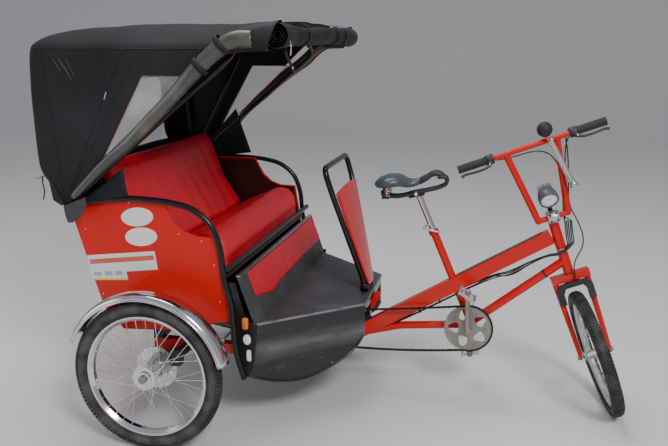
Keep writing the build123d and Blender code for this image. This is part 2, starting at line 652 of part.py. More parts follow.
# Bows: front, middle and rear hoops from the side pivots
bow_tops = (300, -60, -368)
PIVOT = (-334, 872)
PIVOT_R = 24
BOW_Y = HOOD_HALF - HOOD_WALL - FIT - BOW_R
bows = []
for x in bow_tops:
    z = HOOD_SIDE_Z - 45
    direction = Vector(x - PIVOT[0], 0, z - PIVOT[1]).normalized()
    foot = Vector(PIVOT[0], 0, PIVOT[1]) + direction * (PIVOT_R - 4)
    points = (
        (foot.X, -BOW_Y, foot.Z), (x, -BOW_Y, z), (x, -BOW_Y + 150, z + 88),
        (x, BOW_Y - 150, z + 88), (x, BOW_Y, z), (foot.X, BOW_Y, foot.Z),
    )
    bows.append(bent_tube(points, BOW_R, 60))
pivot_low = ARM_Y + ARM_TUBE_R + FIT
pivot_high = HOOD_HALF - HOOD_WALL - FIT
hoops = bows[0] + bows[1] + bows[2]
for side in SIDES:
    hoops += rod((PIVOT[0], side * pivot_low, PIVOT[1]), (PIVOT[0], side * pivot_high, PIVOT[1]), PIVOT_R)
nodes["hood_bows"] = hoops

# Rolled curtains
ROLL_Z = 1474.0
ROLL_HALF = HOOD_HALF - 2.0
nodes["front_curtain_roll"] = rod((ROLL_X, -ROLL_HALF, ROLL_Z), (ROLL_X, ROLL_HALF, ROLL_Z), ROLL_R)
CURTAIN_R = 20.0
curtain_y = HOOD_HALF + FIT + CURTAIN_R
nodes["side_curtain_rolls"] = both_sides(
    lambda side: rod((-290, side * curtain_y, 919), (300, side * curtain_y, 1459), CURTAIN_R)
)

# Handrail hoop behind the driver and the board on it
HOOP_R = 11.0
HOOP_Y = 210.0
hoop_side = ((672, FLOOR_TOP_Z + FIT), (672, 560), (604, 800), (540, 960), (556, 1010))
hoop_points = [(x, -HOOP_Y, z) for x, z in hoop_side] + [(x, HOOP_Y, z) for x, z in reversed(hoop_side)]
nodes["handrail_hoop"] = bent_tube(hoop_points, HOOP_R, 30)
shield_points = (
    (690, FLOOR_TOP_Z + FIT), (698, FLOOR_TOP_Z + FIT), (700, 600), (612, 860), (604, 857), (692, 598),
)
shield = side_plate(shield_points, -HOOP_Y + HOOP_R + 6, HOOP_Y - HOOP_R - 6)
nodes["shield_board"] = shield

# Chain drive
ring_r = CHAIN_PITCH / (2 * sin(pi / RING_TEETH))
cog_r = CHAIN_PITCH / (2 * sin(pi / COG_TEETH))


def drive_place(x, z):
    return Plane(origin=(x, CHAIN_Y, z), x_dir=(1, 0, 0), z_dir=(0, -1, 0)).location


def toothed(radius, teeth, thick, bore):
    disc = Cylinder(radius - CHAIN_HEIGHT / 2 - 0.6, thick)
    return disc - Cylinder(bore, 3 * thick)


cog = toothed(cog_r, COG_TEETH, 3, STUB_R + FIT)
cog += Pos(0, 0, 4) * Cylinder(22, 8) - Cylinder(STUB_R + FIT, 60)
nodes["rear_cog"] = drive_place(0, AXLE_Z) * cog
ring = toothed(ring_r, RING_TEETH, 3, 70)
hub = Cylinder(24, 6)
for i in range(5):
    angle = 72.0 * i + 18
    hub += Rot(0, 0, angle) * Pos(42, 0, 0) * Box(70, 16, 5)
ring += hub
drive_plane = drive_place(BB_X, BB_Z)
crankset = drive_plane * ring
crankset += rod((BB_X, -84, BB_Z), (BB_X, 84, BB_Z), 9)
crank_a = radians(CRANK_ANGLE)
for side in SIDES:
    sign = 1 if side == RIGHT else -1
    tip = (BB_X + sign * CRANK_LENGTH * cos(crank_a), side * 76, BB_Z + sign * CRANK_LENGTH * sin(crank_a))
    crankset += rod((BB_X, side * 70, BB_Z), (BB_X, side * 84, BB_Z), 18)
    mid = Vector((BB_X + tip[0]) / 2, side * 77, (BB_Z + tip[2]) / 2)
    arm = Box(CRANK_LENGTH, 22, 13)
    arm_plane = Plane(origin=mid, x_dir=(tip[0] - BB_X, 0, tip[2] - BB_Z), z_dir=(0, 1, 0))
    crankset += arm_plane.location * arm
    eye = rod((tip[0], side * 70, tip[2]), (tip[0], side * 84, tip[2]), 14)
    crankset += eye
    pedal_low = (tip[0], side * (84 + FIT), tip[2])
    crankset -= rod((tip[0], side * 60, tip[2]), pedal_low, 5 + SHAFT_FIT)
    body = Pos(tip[0], side * PEDAL_Y, tip[2]) * Box(84, 68, 22)
    pin = rod((tip[0], side * 71, tip[2]), (tip[0], side * 100, tip[2]), 5)
    nodes["pedal_" + ("right" if side == RIGHT else "left")] = body + pin
nodes["crankset"] = crankset

# Chain loop around ring and cog
outer = make_hull(
    (Edge.make_circle(ring_r + 4, Plane.XY.offset(0)).moved(Location((BB_X, BB_Z, 0))),
     Edge.make_circle(cog_r + 4).moved(Location((0, AXLE_Z, 0))))
)
inner_hull = make_hull(
    (Edge.make_circle(ring_r - 4).moved(Location((BB_X, BB_Z, 0))),
     Edge.make_circle(cog_r - 4).moved(Location((0, AXLE_Z, 0))))
)
loop_plane = Plane(origin=(0, CHAIN_Y + CHAIN_WIDTH / 2, 0), x_dir=(1, 0, 0), z_dir=(0, -1, 0))
chain = extrude(loop_plane * outer, CHAIN_WIDTH) - extrude(loop_plane * inner_hull, CHAIN_WIDTH)
nodes["chain"] = chain

for name, shape in nodes.items():
    placed = Pos(REAR_AXLE_X, 0, 0) * shape
    export_step(placed, "parts/" + name + ".step")
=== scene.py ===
from math import cos, exp, pi, radians, sin

import bmesh
import bpy
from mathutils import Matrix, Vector, noise


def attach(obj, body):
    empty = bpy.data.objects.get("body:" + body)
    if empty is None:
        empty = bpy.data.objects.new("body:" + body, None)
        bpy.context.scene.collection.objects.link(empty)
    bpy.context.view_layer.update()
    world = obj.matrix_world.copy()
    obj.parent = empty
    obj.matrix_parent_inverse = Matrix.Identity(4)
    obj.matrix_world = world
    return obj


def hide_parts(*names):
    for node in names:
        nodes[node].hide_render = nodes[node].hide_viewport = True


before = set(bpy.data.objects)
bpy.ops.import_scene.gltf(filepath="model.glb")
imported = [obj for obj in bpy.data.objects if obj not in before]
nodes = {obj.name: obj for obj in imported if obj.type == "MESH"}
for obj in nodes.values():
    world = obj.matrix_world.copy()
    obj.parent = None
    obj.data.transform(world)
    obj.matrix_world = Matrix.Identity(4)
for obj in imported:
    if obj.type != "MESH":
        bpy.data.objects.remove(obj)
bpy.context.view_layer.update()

# Places are in metres: +X forward, +Y to the vehicle's left, ground at Z = 0
RIGHT = -1
LEFT = 1
SIDES = (RIGHT, LEFT)
SIDE_NAMES = ((RIGHT, "right"), (LEFT, "left"))
FORWARD = Vector((1, 0, 0))
ACROSS = Vector((0, 1, 0))
UP = Vector((0, 0, 1))
UPRIGHT = (FORWARD, ACROSS, UP)
CROSSWISE = (ACROSS, FORWARD, UP)
REAR_AXLE_X = -0.650
HEAD = Vector((0.763, 0.0, 0.760))
HEAD_LEAN = radians(19.8)
STEER_REST = radians(-82.0)
AXIS_UP = Vector((-sin(HEAD_LEAN), 0, cos(HEAD_LEAN)))
AXIS_AHEAD = Vector((cos(HEAD_LEAN), 0, sin(HEAD_LEAN)))
STEER_AHEAD = AXIS_AHEAD * cos(STEER_REST) + ACROSS * sin(STEER_REST)
STEER_LEFT = ACROSS * cos(STEER_REST) - AXIS_AHEAD * sin(STEER_REST)
ALONG_BEAM = (Vector((0.857, 0, 0.515)), ACROSS, Vector((-0.515, 0, 0.857)))


def place(x, y, z):
    """A point given from the rear axle along X."""
    return Vector((x + REAR_AXLE_X, y, z))


def steered(ahead, left, up):
    """A point in the turned steering frame."""
    return HEAD + STEER_AHEAD * ahead + STEER_LEFT * left + AXIS_UP * up


def beam_z(x):
    """Height of the main beam's middle."""
    return 0.241 + 0.6 * (x - 0.640)


def spread(low, high, count):
    return [low + (high - low) * i / (count - 1) for i in range(count)]


def angles(count):
    return [2 * pi * k / count for k in range(count)]


def added(name, data):
    thing = bpy.data.objects.new(name, data)
    bpy.context.collection.objects.link(thing)
    return thing


# Camera, lights and floor
FOCAL_SHARE = 779.0 / 668.0
EYE = (0.574, -3.104, 1.448)
EYE_PITCH = 13.34
EYE_YAW = 12.62
LIGHTS = (
    ("key", (2.6, -4.4, 4.4), 1.6, 230), ("top", (-0.8, 0.4, 5.0), 3.0, 120),
    ("fill", (-4.2, -2.6, 1.8), 2.5, 34),
)
LIT_POINT = Vector((0, 0, 0.6))
SKY = (0.86, 0.91, 1.0, 1)
SKY_STRENGTH = 0.42
SENSOR = 36.0
FLOOR_HALF = 40.0
FLOOR_FRONT = -24.0
FLOOR_BACK = 9.0
SWEEP_TOP = 20.0
SWEEP_R = 6.0


def set_camera():
    data = bpy.data.cameras.new("camera")
    data.sensor_width = SENSOR
    data.lens = SENSOR * FOCAL_SHARE
    data.shift_y = 0.006
    camera = added("camera", data)
    camera.location = EYE
    camera.rotation_euler = (radians(90 - EYE_PITCH), 0, radians(EYE_YAW))
    bpy.context.scene.camera = camera


def set_studio():
    for name, location, size, power in LIGHTS:
        data = bpy.data.lights.new(name, "AREA")
        data.shape = "DISK"
        data.size = size
        data.energy = power
        light = added(name, data)
        light.location = location
        light.rotation_euler = (LIT_POINT - Vector(location)).to_track_quat("-Z", "Y").to_euler()
    world = bpy.data.worlds.new("studio")
    bpy.context.scene.world = world
    world.use_nodes = True
    sky = world.node_tree.nodes["Background"]
    sky.inputs["Color"].default_value = SKY
    sky.inputs["Strength"].default_value = SKY_STRENGTH
    profile = [(FLOOR_FRONT, 0.0), (FLOOR_BACK, 0.0)]
    for a in (radians(degree) for degree in range(10, 100, 10)):
        profile.append((FLOOR_BACK + SWEEP_R * sin(a), SWEEP_R - SWEEP_R * cos(a)))
    profile.append((FLOOR_BACK + SWEEP_R, SWEEP_TOP))
    mesh = bpy.data.meshes.new("floor")
    points, faces = grid([[(x, y, z) for y, z in profile] for x in (-FLOOR_HALF, FLOOR_HALF)])
    mesh.from_pydata(points, [], [face[::-1] for face in faces])
    for polygon in mesh.polygons:
        polygon.use_smooth = True
    mesh.materials.append(LOOKS["floor"])
    added("floor", mesh)


# Materials
class Look:
    """A node material whose colour, roughness and normal are built up in layers."""

    def __init__(self, name, colour, roughness=0.5, metallic=0.0, **sockets):
        self.material = bpy.data.materials.new(name)
        self.material.use_nodes = True
        self.tree = self.material.node_tree
        self.shader = self.tree.nodes["Principled BSDF"]
        self.fill(self.shader, Base_Color=(*colour, 1), Roughness=roughness, Metallic=metallic, **sockets)
        self.place = self.add("ShaderNodeTexCoord").outputs["Object"]

    def feed(self, socket, value):
        """Links another node's output, or sets a number or colour."""
        if isinstance(value, bpy.types.NodeSocket):
            self.tree.links.new(value, socket)
        else:
            socket.default_value = value

    def fill(self, node, **sockets):
        for name, value in sockets.items():
            self.feed(node.inputs[name.replace("_", " ")], value)

    def add(self, kind, setting=None, choice=None, **sockets):
        node = self.tree.nodes.new(kind)
        if setting:
            setattr(node, setting, choice)
        self.fill(node, **sockets)
        return node

    def noise(self, scale, detail=4.0, stretch=(1, 1, 1)):
        spot = self.add("ShaderNodeMapping", Scale=stretch, Vector=self.place).outputs["Vector"]
        return self.add("ShaderNodeTexNoise", Scale=scale, Detail=detail, Vector=spot).outputs["Fac"]

    def threads(self, scale, direction):
        wave = self.add("ShaderNodeTexWave", "bands_direction", direction, Scale=scale, Distortion=0.4,
                        Vector=self.place)
        return wave.outputs["Fac"]

    def grain(self, scale):
        cells = self.add("ShaderNodeTexVoronoi", "feature", "SMOOTH_F1", Scale=scale, Vector=self.place)
        return cells.outputs["Distance"]

    def between(self, value, low, high, start=0.0, end=1.0):
        node = self.add("ShaderNodeMapRange", From_Min=low, From_Max=high, To_Min=start, To_Max=end)
        self.fill(node, Value=value)
        return node.outputs["Result"]

    def spots(self, scale, detail, low, high, start=0.0, end=1.0, stretch=(1, 1, 1)):
        """Patches that begin at one level of a noise and are full at another."""
        return self.between(self.noise(scale, detail, stretch), low, high, start, end)

    def height(self, low, high):
        """0 below one height of the object and 1 above the other."""
        split = self.add("ShaderNodeSeparateXYZ", Vector=self.place)
        return self.between(split.outputs["Z"], low, high)

    def times(self, first, second, operation="MULTIPLY"):
        node = self.add("ShaderNodeMath", "operation", operation)
        self.feed(node.inputs[0], first)
        self.feed(node.inputs[1], second)
        return node.outputs[0]

    def tint(self, mask, colour):
        """Lays a colour over what the surface has, where the mask is high."""
        socket = self.shader.inputs["Base Color"]
        mix = self.add("ShaderNodeMix", "data_type", "RGBA")
        self.feed(mix.inputs[6], socket.links[0].from_socket if socket.links else socket.default_value)
        self.feed(mix.inputs[7], (*colour, 1))
        self.feed(mix.inputs[0], mask)
        self.feed(socket, mix.outputs[2])

    def gloss(self, mask, smooth, rough):
        self.fill(self.shader, Roughness=self.between(mask, 0, 1, smooth, rough))

    def bump(self, relief, depth, strength=1.0):
        node = self.add("ShaderNodeBump", Distance=depth, Strength=strength, Height=relief)
        socket = self.shader.inputs["Normal"]
        if socket.links:
            self.fill(node, Normal=socket.links[0].from_socket)
        self.feed(socket, node.outputs["Normal"])


def paint(name, colour, worn, roughness=0.25, dust=(0.30, 0.27, 0.23)):
    look = Look(name, colour, roughness, Coat_Weight=0.18, Coat_Roughness=0.12, Specular_IOR_Level=0.3)
    patches = look.noise(3.5, 6)
    look.tint(look.between(patches, 0.45, 0.8, 0, 0.35), worn)
    look.tint(look.times(look.spots(7, 8, 0.50, 0.85, 0, 0.35), look.height(0.70, 0.15)), dust)
    look.tint(look.times(look.spots(38, 8, 0.70, 0.74), look.spots(4, 2, 0.5, 0.62)), worn)
    look.gloss(patches, roughness * 0.8, roughness * 1.9)
    look.bump(look.noise(26, 3), 0.0012, 0.18)
    return look.material


def metal(name, colour, roughness, stain, amount=0.4):
    look = Look(name, colour, roughness, 1.0)
    blotches = look.noise(14, 8)
    look.tint(look.between(blotches, 0.5, 0.85, 0, amount), stain)
    grain = look.noise(240, 3)
    look.gloss(look.times(grain, blotches, "ADD"), roughness * 0.6, roughness * 1.5)
    look.bump(grain, 0.0002, 0.2)
    return look.material


def layered(name, colour, roughness, tints, gloss, bump, **sockets):
    """Patches of tint, each with its noise and levels, an uneven gloss and a fine relief."""
    look = Look(name, colour, roughness, **sockets)
    for tone, *spots in tints:
        look.tint(look.spots(*spots), tone)
    if gloss:
        look.gloss(look.noise(*gloss[:2]), *gloss[2:])
    look.bump(look.noise(*bump[:2]), *bump[2:])
    return look.material


def plastic(name, colour, roughness, pale, grain=900.0, depth=0.0002):
    gloss = (30, 5, roughness * 0.8, min(1.0, roughness * 1.3))
    return layered(name, colour, roughness, [(pale, 9, 7, 0.5, 0.85, 0, 0.5)], gloss, (grain, 2, depth, 0.4))


def cloth(name, colour, faded, roughness=0.8, weave=1500.0):
    look = Look(name, colour, roughness, Specular_IOR_Level=0.35)
    look.tint(look.spots(2.2, 8, 0.42, 0.75, 0, 0.75), faded)
    look.tint(look.spots(45, 6, 0.55, 0.8, 0, 0.35), faded)
    look.gloss(look.noise(6, 6), roughness * 0.7, min(1.0, roughness * 1.15))
    look.bump(look.times(look.threads(weave / 6, "X"), look.threads(weave / 6, "Z"), "ADD"), 0.0002, 0.3)
    look.bump(look.noise(18, 6), 0.004, 0.35)
    return look.material


def floor_look(name):
    return layered(name, (0.72, 0.71, 0.69), 0.8, [((0.62, 0.61, 0.60), 1.2, 4, 0.4, 0.7, 0, 0.12)], None,
                   (60, 4, 0.001, 0.15))


def tyre_look(name):
    return layered(name, (0.022, 0.022, 0.024), 0.72, [((0.20, 0.18, 0.16), 16, 6, 0.4, 0.75, 0, 0.45)],
                   (40, 4, 0.55, 0.9), (500, 3, 0.0004, 0.4))


def seat_vinyl(name):
    look = Look(name, (0.72, 0.006, 0.022), 0.42, Coat_Weight=0.06, Coat_Roughness=0.4)
    look.tint(look.spots(3, 5, 0.45, 0.8, 0, 0.35), (0.80, 0.016, 0.036))
    look.tint(look.spots(70, 6, 0.58, 0.8, 0, 0.25), (0.30, 0.005, 0.012))
    look.gloss(look.noise(9, 6), 0.36, 0.62)
    look.bump(look.grain(520), 0.0003, 0.35)
    look.bump(look.noise(7, 5), 0.006, 0.30)
    return look.material


def curtain_vinyl(name):
    tints = [((0.15, 0.145, 0.130), 6, 7, 0.5, 0.72, 0, 0.7),
             ((0.035, 0.04, 0.036), 24, 5, 0.55, 0.75, 0, 0.5)]
    return layered(name, (0.050, 0.053, 0.045), 0.32, tints, (12, 5, 0.22, 0.5), (30, 6, 0.002, 0.4),
                   Coat_Weight=0.3, Coat_Roughness=0.25)


def clear_sheet(name, colour, alpha, roughness):
    look = Look(name, colour, roughness, IOR=1.4)
    haze = look.noise(9, 7)
    look.tint(look.between(haze, 0.45, 0.75, 0, 0.5), (0.80, 0.80, 0.77))
    look.fill(look.shader, Alpha=look.between(haze, 0.3, 0.8, alpha * 0.6, alpha * 1.3))
    look.bump(look.noise(11, 5), 0.006, 0.5)
    return look.material


def skirt_look(name):
    """Glossy black with a painted highlight: a soft grey band along its length in place of the reflection on
    a curved sheet.
    """
    look = Look(name, (0.006, 0.006, 0.007), 0.22, Coat_Weight=0.2, Coat_Roughness=0.15)
    # painted highlight: the pale band round z 0.325, broken up by noise, stands in for the reflection along
    # the curved sheet
    band = look.times(look.height(0.275, 0.325), look.height(0.375, 0.325))
    look.tint(look.times(band, look.spots(5, 6, 0.35, 0.6, 0.3, 0.9, (1, 1, 3))), (0.13, 0.125, 0.135))
    look.tint(look.times(look.spots(90, 5, 0.68, 0.72), look.height(0.26, 0.22)), (0.35, 0.35, 0.36))
    look.tint(look.spots(12, 8, 0.56, 0.75, 0, 0.5, (1, 1, 4)), (0.055, 0.058, 0.065))
    look.gloss(look.noise(14, 5), 0.18, 0.45)
    look.bump(look.noise(30, 4), 0.0012, 0.2)
    return look.material


LOOK_FACTS = {
    "floor": (floor_look,),
    "red_paint": (paint, (0.62, 0.006, 0.001), (0.44, 0.006, 0.002), 0.22),
    "panel_red": (paint, (0.62, 0.007, 0.002), (0.48, 0.007, 0.003), 0.3),
    # painted shade: a very dark copy of the panel red for the panels' inner faces, which lie in the hood's
    # shade
    "painted_shade_red": (paint, (0.032, 0.0015, 0.002), (0.02, 0.0015, 0.002), 0.4),
    "black_paint": (paint, (0.006, 0.006, 0.007), (0.020, 0.019, 0.019), 0.2, (0.05, 0.045, 0.04)),
    "black_plastic": (plastic, (0.018, 0.018, 0.019), 0.5, (0.07, 0.07, 0.07)),
    "deck_grey": (plastic, (0.050, 0.056, 0.064), 0.42, (0.17, 0.175, 0.18), 300, 0.0006),
    "board_grey": (plastic, (0.055, 0.055, 0.058), 0.6, (0.15, 0.13, 0.12)),
    "chrome": (metal, (0.72, 0.72, 0.73), 0.10, (0.30, 0.23, 0.17), 0.35),
    "steel": (metal, (0.30, 0.30, 0.31), 0.35, (0.10, 0.07, 0.05), 0.6),
    "aluminium": (metal, (0.55, 0.56, 0.57), 0.28, (0.30, 0.29, 0.28), 0.4),
    "tyre": (tyre_look,),
    "black_fabric": (cloth, (0.006, 0.0065, 0.008), (0.022, 0.023, 0.027)),
    "grey_fabric": (cloth, (0.09, 0.10, 0.09), (0.20, 0.21, 0.19), 0.5),
    "red_vinyl": (seat_vinyl,),
    "clear_vinyl": (clear_sheet, (0.55, 0.56, 0.54), 0.35, 0.18),
    "saddle_cover": (plastic, (0.05, 0.062, 0.072), 0.3, (0.11, 0.125, 0.135)),
    "amber": (plastic, (0.80, 0.16, 0.01), 0.2, (0.9, 0.3, 0.05), 300),
    "white_lens": (plastic, (0.80, 0.80, 0.78), 0.2, (0.6, 0.6, 0.56), 300),
    "lamp_grey": (plastic, (0.06, 0.07, 0.085), 0.35, (0.16, 0.17, 0.18)),
    "pink_piping": (plastic, (0.27, 0.03, 0.06), 0.6, (0.4, 0.16, 0.2)),
    "rolled_vinyl": (curtain_vinyl,),
    "sticker_white": (plastic, (0.74, 0.74, 0.74), 0.4, (0.55, 0.54, 0.52)),
    "sticker_red": (plastic, (0.60, 0.10, 0.08), 0.45, (0.7, 0.3, 0.25)),
    "sticker_yellow": (plastic, (0.80, 0.52, 0.05), 0.45, (0.7, 0.6, 0.3)),
    "sticker_grey": (plastic, (0.35, 0.38, 0.42), 0.45, (0.6, 0.6, 0.6)),
    "rivet": (metal, (0.75, 0.62, 0.58), 0.3, (0.45, 0.2, 0.15), 0.5),
    "brown_vinyl": (plastic, (0.075, 0.026, 0.022), 0.4, (0.15, 0.07, 0.06)),
    "worn_edge": (metal, (0.30, 0.31, 0.32), 0.4, (0.02, 0.02, 0.02), 0.95),
    "skirt_black": (skirt_look,),
    "ring_grey": (metal, (0.36, 0.345, 0.32), 0.45, (0.15, 0.12, 0.09), 0.5),
    "chain_dark": (metal, (0.055, 0.047, 0.042), 0.5, (0.11, 0.055, 0.03), 0.6),
    "worn_cloth": (cloth, (0.045, 0.047, 0.050), (0.09, 0.09, 0.095), 0.8),
    "strap": (cloth, (0.010, 0.010, 0.012), (0.035, 0.035, 0.040), 0.7, 2400.0),
    "cable": (plastic, (0.010, 0.010, 0.011), 0.38, (0.04, 0.04, 0.04)),
    "rubber": (plastic, (0.016, 0.016, 0.016), 0.65, (0.05, 0.05, 0.05), 700),
}
LOOKS = {name: make(name, *facts) for name, (make, *facts) in LOOK_FACTS.items()}

NODE_LOOKS = {
    "red_paint": "main_beam bottom_tube seat_tube down_tube side_rails fork handlebar upper_bar "
                 "shield_board",
    "panel_red": "side_panel_right side_panel_left back_panel",
    "black_paint": "floor_frame axle_housing locker_floor arm_tubes seat_rail seat_boards skirts nose_board "
                   "post_panels hood_bows handrail_hoop",
    "steel": "rear_axle mudguard_stays rear_cog chain front_axle",
    "deck_grey": "floor_deck",
    "board_grey": "seat_front_board",
    "aluminium": "seat_front_trim stem front_wheel crankset",
    "amber": "amber_reflectors",
    "white_lens": "marker_lamps",
    "chrome": "mudguards seat_post horn rear_wheel_right rear_wheel_left",
    "black_plastic": "brake_calipers saddle_carrier front_brake brake_levers pedal_right pedal_left",
    "black_fabric": "hood_fabric front_curtain_roll",
    "clear_vinyl": "hood_windows",
    "grey_fabric": "side_curtain_rolls",
    "red_vinyl": "seat_cushion backrest_cushion",
    "saddle_cover": "saddle",
    "rubber": "grips",
    "lamp_grey": "headlight",
    "tyre": "front_tyre rear_tyre_right rear_tyre_left",
}


def dress_nodes():
    for look, names in NODE_LOOKS.items():
        for name in names.split():
            slots = nodes[name].material_slots
            if not slots:
                nodes[name].data.materials.append(LOOKS[look])
            for slot in slots:
                slot.material = LOOKS[look]


# Mesh tools: a shape is its points and faces, and a piece is made of a list of shapes
def mesh_of(name, shapes):
    vertices = []
    faces = []
    for shape_vertices, shape_faces in shapes:
        base = len(vertices)
        vertices.extend(tuple(v) for v in shape_vertices)
        faces.extend([tuple(i + base for i in face) for face in shape_faces])
    mesh = bpy.data.meshes.new(name)
    mesh.from_pydata(vertices, [], faces)
    mesh.update()
    fixer = bmesh.new()
    fixer.from_mesh(mesh)
    bmesh.ops.remove_doubles(fixer, verts=fixer.verts, dist=0.00005)
    bmesh.ops.recalc_face_normals(fixer, faces=fixer.faces)
    fixer.to_mesh(mesh)
    fixer.free()
    return mesh


def piece(name, shapes, look, body="chassis", smooth=True, node=None):
    """Joins shapes into a piece that rides on a body and may stand in for a node."""
    mesh = mesh_of(name, shapes)
    for polygon in mesh.polygons:
        polygon.use_smooth = smooth
    mesh.materials.append(LOOKS[look])
    solid = added(name, mesh)
    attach(solid, body)
    if node:
        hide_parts(node)
    return solid


def grid(rows, closed_rows=False, closed_columns=False):
    """Quads between rows of points."""
    width = len(rows[0])
    faces = []
    for i in range(len(rows) if closed_rows else len(rows) - 1):
        for j in range(width if closed_columns else width - 1):
            next_i = (i + 1) % len(rows)
            next_j = (j + 1) % width
            faces.append((i * width + j, i * width + next_j, next_i * width + next_j, next_i * width + j))
    return [point for row in rows for point in row], faces


def capped(rows):
    """A closed form from rings of points, with flat ends."""
    vertices, faces = grid(rows, closed_columns=True)
    width = len(rows[0])
    faces.append(tuple(range(width))[::-1])
    faces.append(tuple(range((len(rows) - 1) * width, len(rows) * width)))
    return vertices, faces


def slab(outline, levels):
    """A flat form on a side plane, from an XZ outline and the two sides of its thickness."""
    return capped([[place(x, y, z) for x, z in outline] for y in levels])


def carried(points):
    """Goes along a line with two cross directions that don't twist, and the share from 0 to 1."""
    points = [Vector(p) for p in points]
    last = len(points) - 1
    side = None
    for i, point in enumerate(points):
        ahead = (points[min(i + 1, last)] - points[max(i - 1, 0)]).normalized()
        if side is None:
            side = ahead.orthogonal().normalized()
        side = (side - ahead * side.dot(ahead)).normalized()
        yield i / last, point, side, ahead.cross(side)


def tube(points, radius, sides=12, flat=1.0):
    """A capped tube; radius may be a function of the share along it, and flat squashes it."""
    rows = []
    for share, point, side, across in carried(points):
        size = radius(share) if callable(radius) else radius
        rows.append([point + side * (size * cos(a)) + across * (size * flat * sin(a))
                     for a in angles(sides)])
    return capped(rows)


def curve_through(points, steps=8):
    """A smooth line through a few points."""
    points = [Vector(p) for p in points]
    line = []
    for i in range(len(points) - 1):
        before, start, end = points[max(i - 1, 0)], points[i], points[i + 1]
        after = points[min(i + 2, len(points) - 1)]
        for t in (k / steps for k in range(steps)):
            line.append(0.5 * (
                2 * start + (end - before) * t + (2 * before - 5 * start + 4 * end - after) * t ** 2
                + (3 * start - before - 3 * end + after) * t ** 3
            ))
    line.append(points[-1])
    return line


def rounded(points, bend, steps=7):
    """A line with its corners rounded off."""
    points = [Vector(p) for p in points]
    line = [points[0]]
    for before, corner, after in zip(points, points[1:], points[2:]):
        cut = min(bend, (before - corner).length * 0.45, (after - corner).length * 0.45)
        first = corner + (before - corner).normalized() * cut
        last = corner + (after - corner).normalized() * cut
        for t in spread(0, 1, steps):
            line.append(first.lerp(corner, t).lerp(corner.lerp(last, t), t))
    line.append(points[-1])
    return line


def walk(start, end, count):
    return [start.lerp(end, t) for t in spread(0, 1, count)]


BLOCK_FACES = [(0, 1, 3, 2), (4, 6, 7, 5), (0, 4, 5, 1), (2, 3, 7, 6), (0, 2, 6, 4), (1, 5, 7, 3)]


def block(centre, ways, size):
    """A box with its own three directions."""
    ahead, left, up = ways
    corners = []
    for i in (-0.5, 0.5):
        for j in (-0.5, 0.5):
            for k in (-0.5, 0.5):
                corners.append(centre + ahead * (i * size[0]) + left * (j * size[1]) + up * (k * size[2]))
    return corners, BLOCK_FACES


def axes(axis, reference):
    axis = Vector(axis).normalized()
    first = (Vector(reference) - axis * axis.dot(Vector(reference))).normalized()
    return axis, first, axis.cross(first)


def lathe(profile, centre, axis, steps, reference=UP):
    """A ring of revolution from (radius, along) points round an axis."""
    axis, first, second = axes(axis, reference)
    rows = []
    for a in angles(steps):
        out = first * cos(a) + second * sin(a)
        rows.append([centre + out * radius + axis * along for radius, along in profile])
    return grid(rows, closed_rows=True, closed_columns=True)


def stud(tip, radius, half):
    """Profile of a short round part whose ends are drawn in."""
    return [(0.0001, -half), (tip, -half), (radius, 0.0), (tip, half), (0.0001, half)]


def band(inner, outer, half):
    return [(inner, -half), (outer, -half), (outer, half), (inner, half)]


def turned(angle):
    """A direction in the side plane, from ahead over the top."""
    return Vector((cos(angle), 0, sin(angle)))


def ripple(point, scale, seed):
    return noise.noise(point * scale + Vector((seed, seed * 0.7, -seed)))


def thicken(solid, thickness, offset=-1.0):
    modifier = solid.modifiers.new("thickness", "SOLIDIFY")
    modifier.thickness = thickness
    modifier.offset = offset


def soften(solid):
    modifier = solid.modifiers.new("soft", "SUBSURF")
    modifier.levels = 1
    modifier.render_levels = 1


def settle(solid):
    """Keeps the shape that the modifiers give."""
    graph = bpy.context.evaluated_depsgraph_get()
    mesh = bpy.data.meshes.new_from_object(solid.evaluated_get(graph))
    solid.modifiers.clear()
    solid.data = mesh


def cut_out(solid, shapes):
    """Cuts closed forms out of a piece."""
    cutter = added("cutter", mesh_of("cutter", shapes))
    cut = solid.modifiers.new("cut", "BOOLEAN")
    cut.operation = "DIFFERENCE"
    cut.solver = "EXACT"
    cut.object = cutter
    settle(solid)
    bpy.data.objects.remove(cutter)


# Hood: one sheet over the bows, with the windows cut out of it
HOOD_HALF = 0.602
HOOD_EAVE_Z = 1.442
HOOD_CROWN_Z = 1.524
HOOD_FRONT_X = 0.262
BROW_X = 0.428
BOW_XS = (-0.368, -0.060, 0.300)
HOOD_REAR = (
    (-0.352, 0.868), (-0.402, 0.955), (-0.442, 0.985), (-0.450, 1.104), (-0.455, 1.247), (-0.452, 1.387),
    (-0.442, 1.442),
)
PIVOT = (-0.322, 0.878)
HOOD_STEPS = 22
HOOD_CLOTH = 0.003
FRONT_CUT_Z = 1.420
ROOF_SHARES = spread(-1, 1, 37)
WINDOW = ((-0.012, 1.338), (0.166, 1.338), (-0.215, 0.985))
REAR_WINDOW = ((-0.50, 0.985), (0.50, 0.985), (0.50, 1.255), (0.47, 1.285), (-0.47, 1.285), (-0.50, 1.255))


def along(points, share):
    """A point part of the way along a polyline, by share of its height."""
    z = points[0][1] + (points[-1][1] - points[0][1]) * share
    for (x_low, z_low), (x_high, z_high) in zip(points, points[1:]):
        if z <= z_high + 1e-9:
            return x_low + (x_high - x_low) * ((z - z_low) / (z_high - z_low)), z
    return points[-1]


def roof_z(x, across):
    """Height of the roof, where across runs from -1 to 1."""
    share = abs(across)
    height = HOOD_CROWN_Z - (HOOD_CROWN_Z - HOOD_EAVE_Z) * share ** 4.2
    if x < BOW_XS[1]:
        height -= 0.034 * ((BOW_XS[1] - x) / 0.38) ** 2.4 * (1 - share ** 3)
    for low, high in zip(BOW_XS, BOW_XS[1:]):
        if low < x < high:
            height -= 0.010 * sin(pi * (x - low) / (high - low)) * (1 - share ** 2)
    return height


